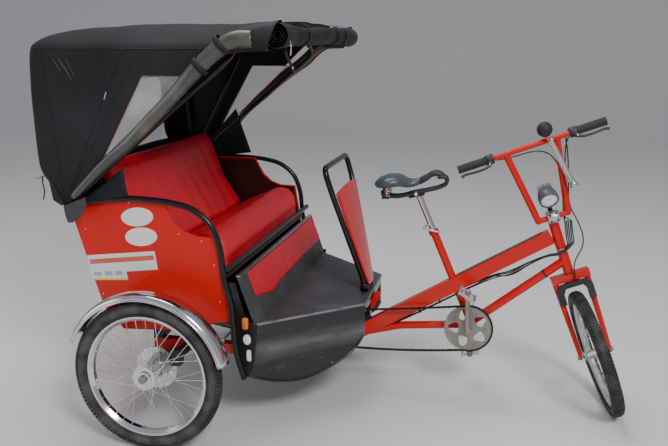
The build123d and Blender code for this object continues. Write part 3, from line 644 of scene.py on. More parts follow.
def crumple(point, amount, seed):
    """Small folds that run down the fabric."""
    fine = Vector((point.x * 9 + seed, point.y * 7, point.z * 3.2))
    coarse = Vector((point.x * 3.2, point.y * 2.6 + seed, point.z * 1.8))
    return amount * (noise.noise(fine) + 0.8 * noise.noise(coarse))


def hood_shapes():
    rear_x, rear_z = HOOD_REAR[0]
    top_x = HOOD_REAR[-1][0]
    shares = spread(0, 1, HOOD_STEPS + 1)
    stations = spread(top_x, HOOD_FRONT_X, 26)
    rear = []
    for t in shares:
        x, z = along(HOOD_REAR, t)
        row = []
        for s in ROOF_SHARES:
            rise = (roof_z(top_x, s) - HOOD_EAVE_Z) * t ** 8
            row.append(place(x - 0.012 * sin(pi * t) * (1 - s ** 2), s * HOOD_HALF, z + rise))
        rear.append(row)
    shapes = [grid(rear)]
    for side in SIDES:
        wall = []
        for share, x_top in zip(spread(0, 1, len(stations)), stations):
            foot_x = rear_x + (PIVOT[0] - rear_x) * share
            foot_z = rear_z + (PIVOT[1] - rear_z) * share
            row = []
            for t in shares:
                sway = (along(HOOD_REAR, t)[0] - rear_x - (top_x - rear_x) * t) * (1 - share) ** 2
                belly = 0.002 * sin(pi * t) * sin(pi * share)
                row.append(place(foot_x + (x_top - foot_x) * t + sway, side * (HOOD_HALF + belly),
                                 foot_z + (HOOD_EAVE_Z - foot_z) * t))
            wall.append(row)
        shapes.append(grid(wall))
    brow = spread(HOOD_FRONT_X, BROW_X, 8)
    roof = stations + brow[1:]
    shapes.append(grid([[place(x, s * HOOD_HALF, roof_z(x, s)) for s in ROOF_SHARES] for x in roof]))
    for side in SIDES:
        rows = []
        for x in brow:
            low = FRONT_CUT_Z + (x - HOOD_FRONT_X) / (BROW_X - HOOD_FRONT_X) * 0.020
            rows.append([place(x, side * HOOD_HALF, z) for z in (low, (low + HOOD_EAVE_Z) / 2, HOOD_EAVE_Z)])
        shapes.append(grid(rows))
    return shapes


def make_hood():
    hood = piece("hood_cover", hood_shapes(), "black_fabric", node="hood_fabric")
    shaper = bmesh.new()
    shaper.from_mesh(hood.data)
    for _ in range(2):
        inner = [v for v in shaper.verts if not v.is_boundary]
        bmesh.ops.smooth_vert(shaper, verts=inner, factor=0.5, use_axis_x=True, use_axis_y=True,
                              use_axis_z=True)
    shaper.normal_update()
    for vertex in shaper.verts:
        vertex.co += vertex.normal * crumple(vertex.co, 0.0052, 3.0)
    shaper.to_mesh(hood.data)
    shaper.free()
    soften(hood)
    thicken(hood, HOOD_CLOTH)
    openings = [slab(WINDOW, (side * (HOOD_HALF - 0.05), side * (HOOD_HALF + 0.05))) for side in SIDES]
    openings.append(capped([[place(x, y, z) for y, z in REAR_WINDOW] for x in (-0.52, -0.38)]))
    cut_out(hood, openings)
    return hood


def make_hood_windows():
    shapes = []
    corner, rear_top, front_top = Vector(WINDOW[2]), Vector(WINDOW[0]), Vector(WINDOW[1])
    for side in SIDES:
        rows = []
        for t in spread(0, 1, 17):
            row = []
            for x, z in walk(corner.lerp(rear_top, t), corner.lerp(front_top, t), 17):
                point = place(x, side * (HOOD_HALF - 0.004), z)
                point.y -= side * (0.006 * sin(pi * t) + 0.006 * abs(ripple(point, 7, 2.0)))
                row.append(point)
            rows.append(row)
        shapes.append(grid(rows))
    shapes.append(grid([
        [place(-0.445 - 0.006 * ripple(Vector((0, y, z)), 6, 1.0), y, z) for y in spread(-0.51, 0.51, 30)]
        for z in spread(0.975, 1.295, 14)
    ]))
    panes = piece("hood_panes", shapes, "clear_vinyl", node="hood_windows")
    soften(panes)


def make_hood_trim():
    """Coloured piping round the side windows."""
    shapes = []
    for side in SIDES:
        rim = [place(x, side * (HOOD_HALF - 0.007), z) for x, z in WINDOW + WINDOW[:1]]
        line = []
        for start, end in zip(rim, rim[1:]):
            line += walk(start, end, 9)[:-1]
        shapes.append(tube(line + rim[-1:], 0.0020, 8))
    piece("window_piping", shapes, "pink_piping")


SEAM_R = 0.0022
TIE_STRAP = ((-0.420, 0.972), (-0.448, 0.967), (-0.475, 0.957))
SEAMS = (
    ((-0.338, 0.885), (-0.075, 1.436)), ((-0.326, 0.905), (-0.045, 1.380)),
    ((-0.436, 1.434), (0.255, 1.434)), ((-0.345, 0.880), (-0.395, 1.430)),
)


def make_hood_seams(hood):
    """Seams from the pivots to the roof, the eave stitching, worn marks and the rear tie strap."""
    def on_hood(start, end, side, steps=40):
        line = []
        for x, z in walk(Vector(start), Vector(end), steps):
            spot = hood.closest_point_on_mesh(place(x, side * (HOOD_HALF + 0.02), z))[1]
            line.append(spot + ACROSS * (side * 0.0008))
        return line

    shapes = [tube(on_hood(*seam, side), SEAM_R, 8, 0.7) for side in SIDES for seam in SEAMS]
    top, faces = grid([[place(x, y, z) for y in (-0.575, -0.545)] for x, z in TIE_STRAP])
    shapes.append((top, faces))
    shapes.append(([v - UP * 0.003 for v in top], [face[::-1] for face in faces]))
    piece("hood_seams", shapes, "strap")
    mark = tube(on_hood((-0.145, 1.280), (-0.154, 1.254), RIGHT, 8), SEAM_R, 8, 0.5)
    piece("hood_mark", [mark], "sticker_grey")
    marks = []
    for k in range(7):
        x, z = -0.345 + 0.009 * k, 1.392 - 0.011 * (k % 3)
        line = on_hood((x, z), (x + 0.010 + 0.003 * k, z - 0.010 - 0.008 * k), RIGHT, 6)
        marks.append(tube(line, 0.0020 + 0.0005 * (k % 2), 6, 0.4))
    piece("hood_worn_patch", marks, "worn_cloth")


# Rolled curtains
ROLL_STEPS = 24
FRONT_ROLL = (0.470, 1.474)
ROLL_Y = {RIGHT: 0.618, LEFT: 0.588}
ROLL_LINES = {
    RIGHT: ((-0.295, 0.905), (-0.181, 1.010), (-0.019, 1.145), (0.134, 1.290), (0.250, 1.402),
            (0.330, 1.450), (0.400, 1.458)),
    LEFT: ((-0.115, 1.035), (-0.044, 1.122), (0.060, 1.212), (0.160, 1.294), (0.243, 1.357),
           (0.320, 1.425), (0.400, 1.458)),
}


def rolled(points, radius, turns, seed):
    """A sheet wound up round a smooth line, from its free edge inwards."""
    rows = []
    count = int(turns * ROLL_STEPS)
    for share, point, side, across in carried(curve_through(points, 10)):
        row = []
        for k in range(count + 1):
            angle = 2 * pi * k / ROLL_STEPS
            lump = noise.noise(Vector((share * 8, cos(angle) * 1.3, sin(angle) * 1.3 + seed)))
            fold = sin(2 * angle + share * 11 + seed)
            out = radius(share) * (1 - 0.78 * k / count) * (1 + 0.16 * lump + 0.05 * fold)
            row.append(point + side * (out * cos(angle)) + across * (out * sin(angle)))
        rows.append(row)
    return rows


def make_front_roll():
    x, z = FRONT_ROLL
    points = [place(x, y, z + 0.003 * sin(y * 5)) for y in spread(-0.585, 0.585, 7)]
    rows = rolled(points, lambda share: 0.0385 + 0.002 * sin(share * 17), 3.4, 1.7)
    roll = piece("front_roll", [grid(rows)], "black_fabric", node="front_curtain_roll")
    thicken(roll, 0.0015)


def make_side_rolls():
    for side, name in SIDE_NAMES:
        points = []
        for i, (x, z) in enumerate(ROLL_LINES[side]):
            points.append(place(x, side * (ROLL_Y[side] + 0.004 * min(i, 3)), z))
        rows = rolled(points, lambda share: 0.013 + 0.018 * min(1.0, share * 1.6) ** 0.8, 2.6, 4.0 + side)
        look, node = ("rolled_vinyl", "side_curtain_rolls") if side == RIGHT else ("brown_vinyl", None)
        roll = piece("side_roll_" + name, [grid(rows)], look, node=node)
        thicken(roll, 0.0008)


STRAP_YS = (-0.30, 0.20, 0.35)
STRAP_R = 0.043
STRAP_HALF = 0.011
SIDE_STRAP_XS = (0.215, 0.292)
SIDE_STRAP_R = 0.035
SIDE_STRAP_HALF = 0.009
CUFF = ((0.45, 0.041), (0.52, 0.044), (0.575, 0.047), (0.596, 0.045))
SLEEVE = (
    (0.318, 1.447, 0.036), (0.350, 1.455, 0.040), (0.400, 1.463, 0.044), (0.447, 1.468, 0.049),
    (0.462, 1.470, 0.050),
)
FLAP = ((0.470, 1.430), (0.478, 1.405), (0.492, 1.375), (0.505, 1.349))
STUB = ((-0.444, 0.985), (-0.452, 0.965), (-0.449, 0.900))


def make_hood_straps():
    """Straps round the rolls, the open cuff of the front roll, its snap flap and the tie stubs."""
    def circle(count):
        return [(cos(a), sin(a)) for a in angles(count) + [2 * pi]]

    shapes = []
    x, z = FRONT_ROLL
    for y in STRAP_YS:
        ring = [place(x + STRAP_R * c, y, z + STRAP_R * s) for c, s in circle(24)]
        shapes.append(grid([[p + ACROSS * w for p in ring] for w in (-STRAP_HALF, STRAP_HALF)]))
    run = Vector((0.77, 0, 0.64)) * SIDE_STRAP_HALF
    for x in SIDE_STRAP_XS:
        centre = place(x, -0.627, 1.372 + (x - 0.215) * 0.9)
        ring = [centre + (Vector((-0.64, 0, 0.77)) * c + ACROSS * s) * SIDE_STRAP_R for c, s in circle(24)]
        shapes.append(grid([[p + run * way for p in ring] for way in (-1, 1)]))
    for side in SIDES:
        shapes.append(grid([
            [place(0.468 + size * 0.95 * c, side * y, 1.470 + size * 0.92 * s) for c, s in circle(24)]
            for y, size in CUFF
        ]))
    for side in SIDES:
        rows = []
        for x, z, size in SLEEVE:
            y = 0.618 - 0.25 * (x - 0.318)
            flare = 0.02 * (size - 0.036) / 0.014
            rows.append([place(x + flare * c, side * (y + size * s), z + size * c) for c, s in circle(28)])
        shapes.append(grid(rows))
    for line, ys in ((FLAP, (-0.520, -0.485)), (STUB, (-0.330, -0.300))):
        shapes.append(grid([[place(x, y, z) for y in ys] for x, z in line]))
    thicken(piece("hood_straps", shapes, "strap"), 0.0016)
    tab = ((0.514, 1.452), (0.517, 1.430), (0.514, 1.405))
    pull = tube([place(x, -0.585, z) for x, z in tab], 0.0022, 8, 0.6)
    snap = lathe([(0.0001, 0.003), (0.005, 0.0025), (0.006, 0.0), (0.0001, 0.0)], place(0.497, -0.5, 1.362),
                 (1, 0, 0.4), 14)
    piece("hood_hardware", [pull, snap], "chrome")


# Top and bottom line of each cloth corner
GUSSETS = {
    RIGHT: (((-0.330, 0.868), (-0.265, 0.902), (-0.119, 1.008)),
            ((-0.330, 0.864), (-0.215, 0.886), (-0.103, 0.906))),
    LEFT: (((-0.330, 0.868), (-0.215, 1.000), (-0.095, 1.130)),
           ((-0.330, 0.864), (-0.170, 0.895), (-0.021, 0.915))),
}
CORNER_PATCH = (
    (-0.345, 0.866), (-0.300, 0.886), (-0.256, 0.904), (-0.252, 0.880), (-0.262, 0.850), (-0.285, 0.824),
    (-0.312, 0.808), (-0.332, 0.806), (-0.340, 0.830),
)
NET_PATCH = (
    (-0.418, 0.978), (-0.400, 0.971), (-0.393, 0.930), (-0.386, 0.887), (-0.352, 0.867), (-0.346, 0.885),
    (-0.402, 0.985),
)


def make_gussets():
    """Cloth corners that close the hood down to its pivots, over the seat ends, and their patches."""
    shapes = []
    for side in SIDES:
        top, low = (curve_through([(*p, 0) for p in line], 12) for line in GUSSETS[side])
        rows = []
        for t in spread(0, 1, 14):
            up, down = top[int(t * 24)], low[int(t * 24)]
            line = walk(down, up, 8)
            rows.append([place(p.x, side * (0.572 + 0.004 * ripple(p, 14, 3.0)), p.y) for p in line])
        shapes.append(grid(rows))
    gussets = piece("hood_gussets", shapes, "black_fabric")
    thicken(gussets, 0.0015)
    for name, outline, low, high, look in (("hood_corner_patch", CORNER_PATCH, 0.004, 0.006, "worn_cloth"),
                                           ("hood_net_patch", NET_PATCH, 0.001, 0.0028, "strap")):
        shapes = [slab(outline, (side * (HOOD_HALF + low), side * (HOOD_HALF + high))) for side in SIDES]
        piece(name, shapes, look, smooth=False)


# Seat
CLOTH_STEPS = 20
SKIN_VOXEL = 0.010
PRESSURE = 4.0
SEAT_HALF = 0.513
CUSHION = (
    (-0.094, 0.531), (0.246, 0.623), (0.251, 0.690), (0.240, 0.748), (0.196, 0.784), (0.130, 0.757),
    (-0.046, 0.668), (-0.088, 0.600),
)
BACKREST = (
    (-0.096, 0.546), (-0.089, 0.600), (-0.047, 0.670), (-0.130, 0.820), (-0.205, 1.000), (-0.232, 1.036),
    (-0.266, 1.028), (-0.261, 0.980),
)


def inflate(solid, cap):
    """Swells a padded form as a cloth skin, no further than the cap."""
    start = [v.co.copy() for v in solid.data.vertices]
    cloth = solid.modifiers.new("cloth", "CLOTH")
    settings = cloth.settings
    settings.quality = 5
    settings.use_pressure = True
    settings.uniform_pressure_force = PRESSURE
    settings.effector_weights.gravity = 0
    settings.tension_stiffness = 12
    settings.compression_stiffness = 8
    settings.bending_stiffness = 0.6
    for step in range(1, CLOTH_STEPS + 1):
        bpy.context.scene.frame_set(step)
    swollen = solid.evaluated_get(bpy.context.evaluated_depsgraph_get())
    moved = [v.co.copy() for v in swollen.to_mesh().vertices]
    swollen.to_mesh_clear()
    solid.modifiers.clear()
    for vertex, before, after in zip(solid.data.vertices, start, moved):
        step = after - before
        if step.length > cap:
            step = step.normalized() * cap
        vertex.co = before + step
    bpy.context.scene.frame_set(1)


def padded_form(name, profile, shrink, cap, node):
    """A padded form with an XZ outline, first drawn in, then blown up."""
    centre_x = sum(x for x, z in profile) / len(profile)
    centre_z = sum(z for x, z in profile) / len(profile)
    drawn = []
    for x, z in profile:
        away = Vector((x - centre_x, z - centre_z))
        away *= 1 - shrink / away.length
        drawn.append((centre_x + away.x, centre_z + away.y))
    pad = piece(name, [slab(drawn, (-SEAT_HALF + shrink, SEAT_HALF - shrink))], "red_vinyl", node=node)
    bevel = pad.modifiers.new("edges", "BEVEL")
    bevel.width = 0.022
    bevel.segments = 3
    remesh = pad.modifiers.new("skin", "REMESH")
    remesh.mode = "VOXEL"
    remesh.voxel_size = SKIN_VOXEL
    settle(pad)
    inflate(pad, cap)
    for polygon in pad.data.polygons:
        polygon.use_smooth = True
    return pad


def make_cushions():
    seat = padded_form("seat_pad", CUSHION, 0.011, 0.014, "seat_cushion")
    for vertex in seat.data.vertices:
        x, y, z = vertex.co.x - REAR_AXLE_X, vertex.co.y, vertex.co.z
        edge = max(0.0, min(1.0, (z - 0.60) / 0.12))
        pull = noise.noise(Vector((x * 5, y * 22 + x * 9, z * 4)))
        dent = noise.noise(Vector((x * 4, y * 3.1, 9.0)))
        vertex.co.z += edge * (0.0022 * pull + 0.008 * dent)
        vertex.co.x += edge * 0.003 * pull
    soften(seat)
    back = padded_form("backrest_pad", BACKREST, 0.009, 0.012, "backrest_cushion")
    for vertex in back.data.vertices:
        x, y, z = vertex.co.x - REAR_AXLE_X, vertex.co.y, vertex.co.z
        front = max(0.0, min(1.0, (x + 0.23 + (z - 0.9) * 0.42) / 0.05))
        flute = abs(sin((y + 0.02 * sin(z * 6)) * pi / 0.104))
        crease = noise.noise(Vector((x * 5, y * 16, z * 2.5)))
        vertex.co.x += front * (0.0035 * flute - 0.002 + 0.003 * crease)
        vertex.co.z += 0.004 * front * noise.noise(Vector((1.0, y * 6, z * 3)))
    soften(back)


# Tyres with their tread; a row of blocks has its offset, drop, size, lean, phase and tilt
REAR_BLOCKS = (
    (0.0000, 0.0017, (0.0115, 0.0105, 0.0034), 0.0, 0.0, 0.0),
    (0.0125, 0.0028, (0.0100, 0.0095, 0.0036), 0.10, 0.5, 0.22),
    (-0.0125, 0.0028, (0.0100, 0.0095, 0.0036), -0.10, 0.5, -0.22),
    (0.0222, 0.0085, (0.0100, 0.0070, 0.0036), 0.0, 0.0, 0.75),
    (-0.0222, 0.0085, (0.0100, 0.0070, 0.0036), 0.0, 0.0, -0.75),
)
FRONT_BLOCKS = (
    (0.0052, 0.0017, (0.0115, 0.0048, 0.0034), 0.75, 0.0, 0.06),
    (-0.0052, 0.0017, (0.0115, 0.0048, 0.0034), -0.75, 0.0, -0.06),
    (0.0145, 0.0048, (0.0110, 0.0045, 0.0034), -0.6, 0.5, 0.45),
    (-0.0145, 0.0048, (0.0110, 0.0045, 0.0034), 0.6, 0.5, -0.45),
    (0.0205, 0.0100, (0.0095, 0.0050, 0.0034), 0.0, 0.0, 0.9),
    (-0.0205, 0.0100, (0.0095, 0.0050, 0.0034), 0.0, 0.0, -0.9),
)
REAR_R = 0.281
REAR_RIM_R = 0.228
REAR_TYRE_HALF = 0.028
REAR_BLOCK_COUNT = 118
HUB_Y = 0.705
FRONT_R = 0.257
FRONT_RIM_R = 0.212
FRONT_TYRE_HALF = 0.024
FRONT_BLOCK_COUNT = 120
RAKE = 0.045
HUB_UP = -0.5512
TYRE_STEPS = 120
TREAD_HEIGHT = 0.0035


def tread(centre, ways, radius, blocks, count):
    axis, first, second = ways
    shapes = []
    for offset, drop, size, lean, phase, tilt in blocks:
        for i in range(count):
            angle = 2 * pi * (i + phase) / count
            out = first * cos(angle) + second * sin(angle)
            round_way = axis.cross(out)
            up = (out * cos(tilt) + axis * sin(tilt)).normalized()
            across = (axis * cos(tilt) - out * sin(tilt)).normalized()
            ahead = round_way * cos(lean) + across * sin(lean)
            left = across * cos(lean) - round_way * sin(lean)
            shapes.append(block(centre + out * (radius - drop) + axis * offset, (ahead, left, up), size))
    return shapes


def tyre_section(radius, rim_radius, half):
    """Carcass outline under the tread, from one bead to the other."""
    middle = (radius - TREAD_HEIGHT + rim_radius) / 2
    tall = (radius - TREAD_HEIGHT - rim_radius) / 2
    section = [(rim_radius + 0.0004, -half * 0.45)]
    for k in range(19):
        angle = radians(-155 + 310 * k / 18)
        section.append((middle + tall * cos(angle) * (1.0 - 0.06 * abs(sin(angle))), half * sin(angle)))
    section.append((rim_radius + 0.0004, half * 0.45))
    return section


def make_tyre(name, centre, axis, reference, radius, rim_radius, half, blocks, count, body, node):
    ways = axes(axis, reference)
    shapes = [lathe(tyre_section(radius, rim_radius, half), centre, ways[0], TYRE_STEPS, ways[1])]
    for side in SIDES:
        line_radius, out = rim_radius + 0.006, side * half * 0.86
        ring = [(line_radius + 0.0012 * cos(a), out + 0.0012 * sin(a)) for a in angles(6)]
        shapes.append(lathe(ring, centre, ways[0], TYRE_STEPS, ways[1]))
    round_faces = sum(len(faces) for points, faces in shapes)
    tyre = piece(name, shapes + tread(centre, ways, radius, blocks, count), "tyre", body, node=node)
    for polygon in tyre.data.polygons[round_faces:]:
        polygon.use_smooth = False


def make_tyres():
    for side, name in SIDE_NAMES:
        make_tyre("rear_tread_" + name, place(0, side * HUB_Y, REAR_R), ACROSS, FORWARD, REAR_R,
                  REAR_RIM_R, REAR_TYRE_HALF, REAR_BLOCKS, REAR_BLOCK_COUNT, "rear_wheel_" + name,
                  "rear_tyre_" + name)
    make_tyre("front_tread", steered(RAKE, 0, HUB_UP), STEER_LEFT, AXIS_UP, FRONT_R, FRONT_RIM_R,
              FRONT_TYRE_HALF, FRONT_BLOCKS, FRONT_BLOCK_COUNT, "front_wheel", "front_tyre")


# Marks and trim of the side panels
PANEL_Y = 0.5447
PATCH = 0.0005
PRINT = 0.0003
RIVETS = (
    (-0.118, 0.877), (0.072, 0.770), (0.160, 0.748), (0.222, 0.520), (-0.300, 0.770), (-0.246, 0.520),
    (0.205, 0.660),
)
CARD = (
    (-0.3040, 0.6668), (-0.0264, 0.6996), (-0.0170, 0.6302), (-0.1451, 0.6140), (-0.1387, 0.5813),
    (-0.2815, 0.5716),
)
CARD_BAND = ((-0.2945, 0.6520), (-0.0325, 0.6835), (-0.0300, 0.6655), (-0.2905, 0.6335))
CARD_FOOT = ((-0.2800, 0.5790), (-0.1400, 0.5885), (-0.1387, 0.5813), (-0.2815, 0.5716))


def flat_patch(name, outline, y, thickness, look):
    """A thin sheet on a side plane, from an XZ outline."""
    piece(name, [slab(outline, (y, y + thickness))], look, smooth=False)


def oval(x, z, half_x, half_z, slope):
    return [(x + half_x * cos(a), z + half_z * sin(a) + slope * (half_x * cos(a))) for a in angles(36)]


def make_panel_marks():
    """Blank stickers where the near panel has them: two ovals and a card with bare bands."""
    for name, x, z in (("oval_high", -0.088, 0.8256), ("oval_low", -0.0765, 0.7515)):
        flat_patch(name, oval(x, z, 0.064, 0.0352, 0.075), -PANEL_Y, -PATCH, "sticker_white")
    flat_patch("card", CARD, -PANEL_Y, -PATCH, "sticker_white")
    flat_patch("card_band", CARD_BAND, -PANEL_Y - PATCH, -PRINT, "sticker_red")
    flat_patch("card_foot", CARD_FOOT, -PANEL_Y - PATCH, -PRINT, "sticker_yellow")
    for name, x in (("card_left", -0.262), ("card_middle", -0.218), ("card_right", -0.176)):
        z = 0.597 + (x + 0.262) * 0.09
        low = ((x - 0.016, z - 0.008), (x + 0.016, z - 0.006))
        high = ((x + 0.016, z + 0.010), (x - 0.016, z + 0.008))
        flat_patch(name, low + high, -PANEL_Y - PATCH, -PRINT, "sticker_grey")


def make_rivets():
    head = [(0.0001, 0.0016), (0.0022, 0.0012), (0.0036, 0.0002), (0.0001, 0.0002)]
    shapes = []
    for side in SIDES:
        for face_y, way in ((PANEL_Y, 1), (PANEL_Y - 0.011, -1)):
            for x, z in RIVETS:
                shapes.append(lathe(head, place(x, side * face_y, z), ACROSS * (side * way), 10, FORWARD))
    piece("panel_rivets", shapes, "rivet")


# Share of the board's height below the torn foot of the sheet, along Y
TORN = ((-0.500, 0.64), (-0.459, 0.47), (-0.264, 0.24), (-0.180, 0.31), (0.343, 0.35), (0.540, 0.35))
BOARD_LOW = Vector((0.3580, 0.4403))
BOARD_HIGH = Vector((0.2960, 0.6180))


def torn_edge(y):
    for (y_low, low), (y_high, high) in zip(TORN, TORN[1:]):
        if y_low <= y <= y_high:
            return low + (high - low) * (y - y_low) / (y_high - y_low)


def make_torn_sheet():
    """Red sheet over the board below the seat, torn away along its foot."""
    rows = []
    out = Vector((BOARD_HIGH.y - BOARD_LOW.y, BOARD_LOW.x - BOARD_HIGH.x)).normalized()
    for y in spread(-0.452, 0.530, 120):
        rough = 0.035 * noise.noise(Vector((y * 30, 1, 2))) + 0.02 * noise.noise(Vector((y * 90, 5, 2)))
        fold = 0.006 * exp(-((y + 0.03) / 0.018) ** 2)
        row = []
        for t in spread(max(0.10, min(0.85, torn_edge(y) + rough)), 0.965, 13):
            lift = 0.0012 + 0.003 * abs(noise.noise(Vector((y * 12, t * 6, 4)))) + fold * (1 - t)
            flat = BOARD_LOW.lerp(BOARD_HIGH, t) + out * lift
            row.append(place(flat.x, y, flat.y))
        rows.append(row)
    sheet = piece("torn_sheet", [grid(rows)], "red_vinyl")
    thicken(sheet, 0.001, 1.0)


# Half hoop and saddle
HOOP = ((0.671, 0.054, 0.441), (0.666, 0.058, 0.490), (0.561, 0.203, 0.890), (0.536, 0.207, 0.972))
HOOP_R = 0.0115
HOOP_FOOT = ((HOOP_R, 0.0), (0.017, 0.0), (0.017, 0.032), (HOOP_R, 0.036))
# Foot and head of the hoop's board: place along, height and half width
HOOP_BOARD = ((0.692, 0.468, 0.052), (0.585, 0.872, 0.186))
HOOP_BOARD_THICK = 0.007
GUSSET = ((0.664, 0.428), (0.735, 0.420), (0.700, 0.345), (0.664, 0.340))
# Sections along the saddle: distance ahead, half width, top and underside
SADDLE = (
    (-0.006, 0.040, 0.898, 0.884), (0.0, 0.058, 0.907, 0.880), (0.012, 0.070, 0.915, 0.872),
    (0.045, 0.079, 0.928, 0.873), (0.090, 0.066, 0.929, 0.880), (0.125, 0.042, 0.915, 0.876),
    (0.160, 0.026, 0.914, 0.884), (0.200, 0.020, 0.934, 0.905), (0.228, 0.018, 0.951, 0.925),
    (0.255, 0.015, 0.948, 0.922), (0.272, 0.010, 0.936, 0.918),
)
SADDLE_X = 0.712
NOSE_FROM = 0.182
LAP = 0.0012
SADDLE_RAIL = (
    (0.735, 0.862), (0.738, 0.838), (0.800, 0.838), (0.880, 0.858), (0.965, 0.882), (0.996, 0.898),
    (0.990, 0.926), (0.958, 0.924),
)
SADDLE_CLAMP = (0.872, 0, 0.853)
PLATE_SIZE = (0.030, 0.104, 0.005)
SPRING_AT = (0.755, 0.036, 0.839)
SADDLE_PIN = (
    (0.0001, -0.029), (0.008, -0.028), (0.009, -0.024), (0.009, 0.024), (0.008, 0.028), (0.0001, 0.029),
)


def make_hoop():
    """Half hoop ahead of the deck, the red board on it and the gusset at its foot."""
    legs = [place(x, -y, z) for x, y, z in HOOP] + [place(*p) for p in HOOP[::-1]]
    shapes = [tube(rounded(legs, 0.075), HOOP_R, 16)]
    x, y, z = HOOP[0]
    shapes += [lathe(HOOP_FOOT, place(x, side * y, z), UP, 20, FORWARD) for side in SIDES]
    piece("half_hoop", shapes, "black_paint", node="handrail_hoop")
    (x_low, z_low, half_low), (x_high, z_high, half_high) = HOOP_BOARD
    rows = []
    for t in spread(0, 1, 24):
        x = x_low + (x_high - x_low) * t
        z = z_low + (z_high - z_low) * t
        half = half_low + (half_high - half_low) * t ** 0.9
        rows.append([
            place(x + 0.004 * (1 - s * s), half * s, z + 0.012 * (1 - s * s) * t ** 6)
            for s in spread(-1, 1, 17)
        ])
    thicken(piece("hoop_board", [grid(rows)], "red_paint", node="shield_board"), HOOP_BOARD_THICK)
    piece("hoop_gusset", [slab(GUSSET, (-0.004, 0.004))], "red_paint", smooth=False)


def saddle_form(stations):
    rows = []
    for ahead, half, top, low in stations:
        lip = low + (top - low) * 0.35
        row = []
        for a in angles(32):
            lift = sin(a)
            z = lip + (top - lip) * lift ** 0.8 if lift > 0 else lip + (lip - low) * lift
            dip = 0.004 * exp(-(cos(a) / 0.25) ** 2) * (lift > 0)
            row.append(place(SADDLE_X + ahead, half * cos(a), z - dip))
        rows.append(row)
    return capped(rows)


def coil(centre, radius, height, turns, wire, steps=16):
    count = turns * steps
    spots = ((2 * pi * i / steps, i / count) for i in range(count + 1))
    return tube([centre + Vector((radius * cos(a), radius * sin(a), height * t)) for a, t in spots], wire, 8)


def make_saddle():
    stations = [tuple(p) for p in curve_through(SADDLE, 5)]
    split = [i for i, s in enumerate(stations) if s[0] > NOSE_FROM][0]
    piece("saddle_cover", [saddle_form(stations[:split + 1])], "saddle_cover", node="saddle")
    nose = [(ahead, half + LAP, top + LAP, low - LAP) for ahead, half, top, low in stations[split - 1:]]
    piece("saddle_nose", [saddle_form(nose)], "black_plastic")
    shapes = []
    for side in SIDES:
        rail = rounded([place(x, side * 0.021, z) for x, z in SADDLE_RAIL], 0.014)
        shapes.append(tube(rail, 0.0068, 12))
    tilted = (Vector((0.97, 0, 0.24)), ACROSS, Vector((-0.24, 0, 0.97)))
    shapes.append(block(place(*SADDLE_CLAMP), tilted, (0.062, 0.044, 0.024)))
    shapes += [block(place(0.752, 0, z), UPRIGHT, PLATE_SIZE) for z in (0.836, 0.881)]
    piece("saddle_rails", shapes, "black_plastic", node="saddle_carrier")
    x, y, z = SPRING_AT
    shapes = [coil(place(x, side * y, z), 0.0115, 0.040, 5, 0.0021) for side in SIDES]
    shapes.append(lathe(SADDLE_PIN, place(*SADDLE_CLAMP), ACROSS, 18))
    piece("saddle_springs", shapes, "chrome")


# Headlight, horn, stem and levers, given in the steering frame
LAMP_AT = (0.062, 0, 0.118)
LAMP_DROP = radians(35)
LAMP_SHELL = (
    (0.0001, -0.042), (0.010, -0.042), (0.020, -0.036), (0.031, -0.024), (0.038, 0.002), (0.038, 0.026),
    (0.0345, 0.030), (0.032, 0.024), (0.0001, 0.020),
)
LAMP_GLASS = ((0.0001, 0.0245), (0.016, 0.0262), (0.0322, 0.0250), (0.0322, 0.0235), (0.0001, 0.0232))
LAMP_BEAD = ((0.0001, 0.0015), (0.0022, 0.001), (0.0033, 0.0), (0.0001, 0.0))
BULB_R = 0.029
BULB_AT = (0.071, 0.062, 0.366)
COLLAR_AT = (0.071, 0.063, 0.333)
HORN_NECK = ((0.071, 0.063, 0.345), (0.076, 0.068, 0.320))
HORN_LINK = ((0.091, 0.071, 0.325), (0.071, 0.067, 0.322), (0.030, 0.064, 0.318))
TRUMPETS = (((0.071, 0.067, 0.330), (0.071, 0.096, 0.150)), ((0.091, 0.071, 0.330), (0.088, 0.104, 0.128)))
BAR_AHEAD = 0.0450
BAR_UP = 0.3200
BAR_R = 0.0111
GRIP_INNER = 0.1800
GRIP_OUTER = 0.2900
STEM_UP = 0.030
STEM_CLAMP = (
    (BAR_R + 0.0004, -0.024), (0.0200, -0.024), (0.0238, -0.020), (0.0262, -0.010), (0.0268, 0.0),
    (0.0262, 0.010), (0.0238, 0.020), (0.0200, 0.024), (BAR_R + 0.0004, 0.024),
)
STEM_BOLT = ((0.0001, 0.0045), (0.0032, 0.0045), (0.0044, 0.003), (0.0044, -0.004), (0.0001, -0.004))
LEVER_CLAMP = (
    (BAR_R + 0.0004, -0.015), (BAR_R + 0.007, -0.015), (BAR_R + 0.009, -0.011), (BAR_R + 0.009, 0.011),
    (BAR_R + 0.007, 0.015), (BAR_R + 0.0004, 0.015),
)
# Levers, for the left side: ahead of the bar, out along it and up from it
LEVER_SEAT = (0, GRIP_INNER - 0.016, 0)
LEVER_ROOT = (0.014, GRIP_INNER - 0.016, -0.006)
LEVER_PIVOT = (0.036, GRIP_INNER - 0.010, -0.016)
LEVER_BARREL = ((0.004, GRIP_INNER - 0.031, -0.012), (0.010, GRIP_INNER - 0.009, -0.016))
BLADE = (
    (0.034, GRIP_INNER - 0.012, -0.016), (0.043, GRIP_INNER + 0.012, -0.022),
    (0.040, GRIP_INNER + 0.045, -0.024), (0.035, GRIP_OUTER - 0.020, -0.022),
    (0.040, GRIP_OUTER - 0.006, -0.026),
)


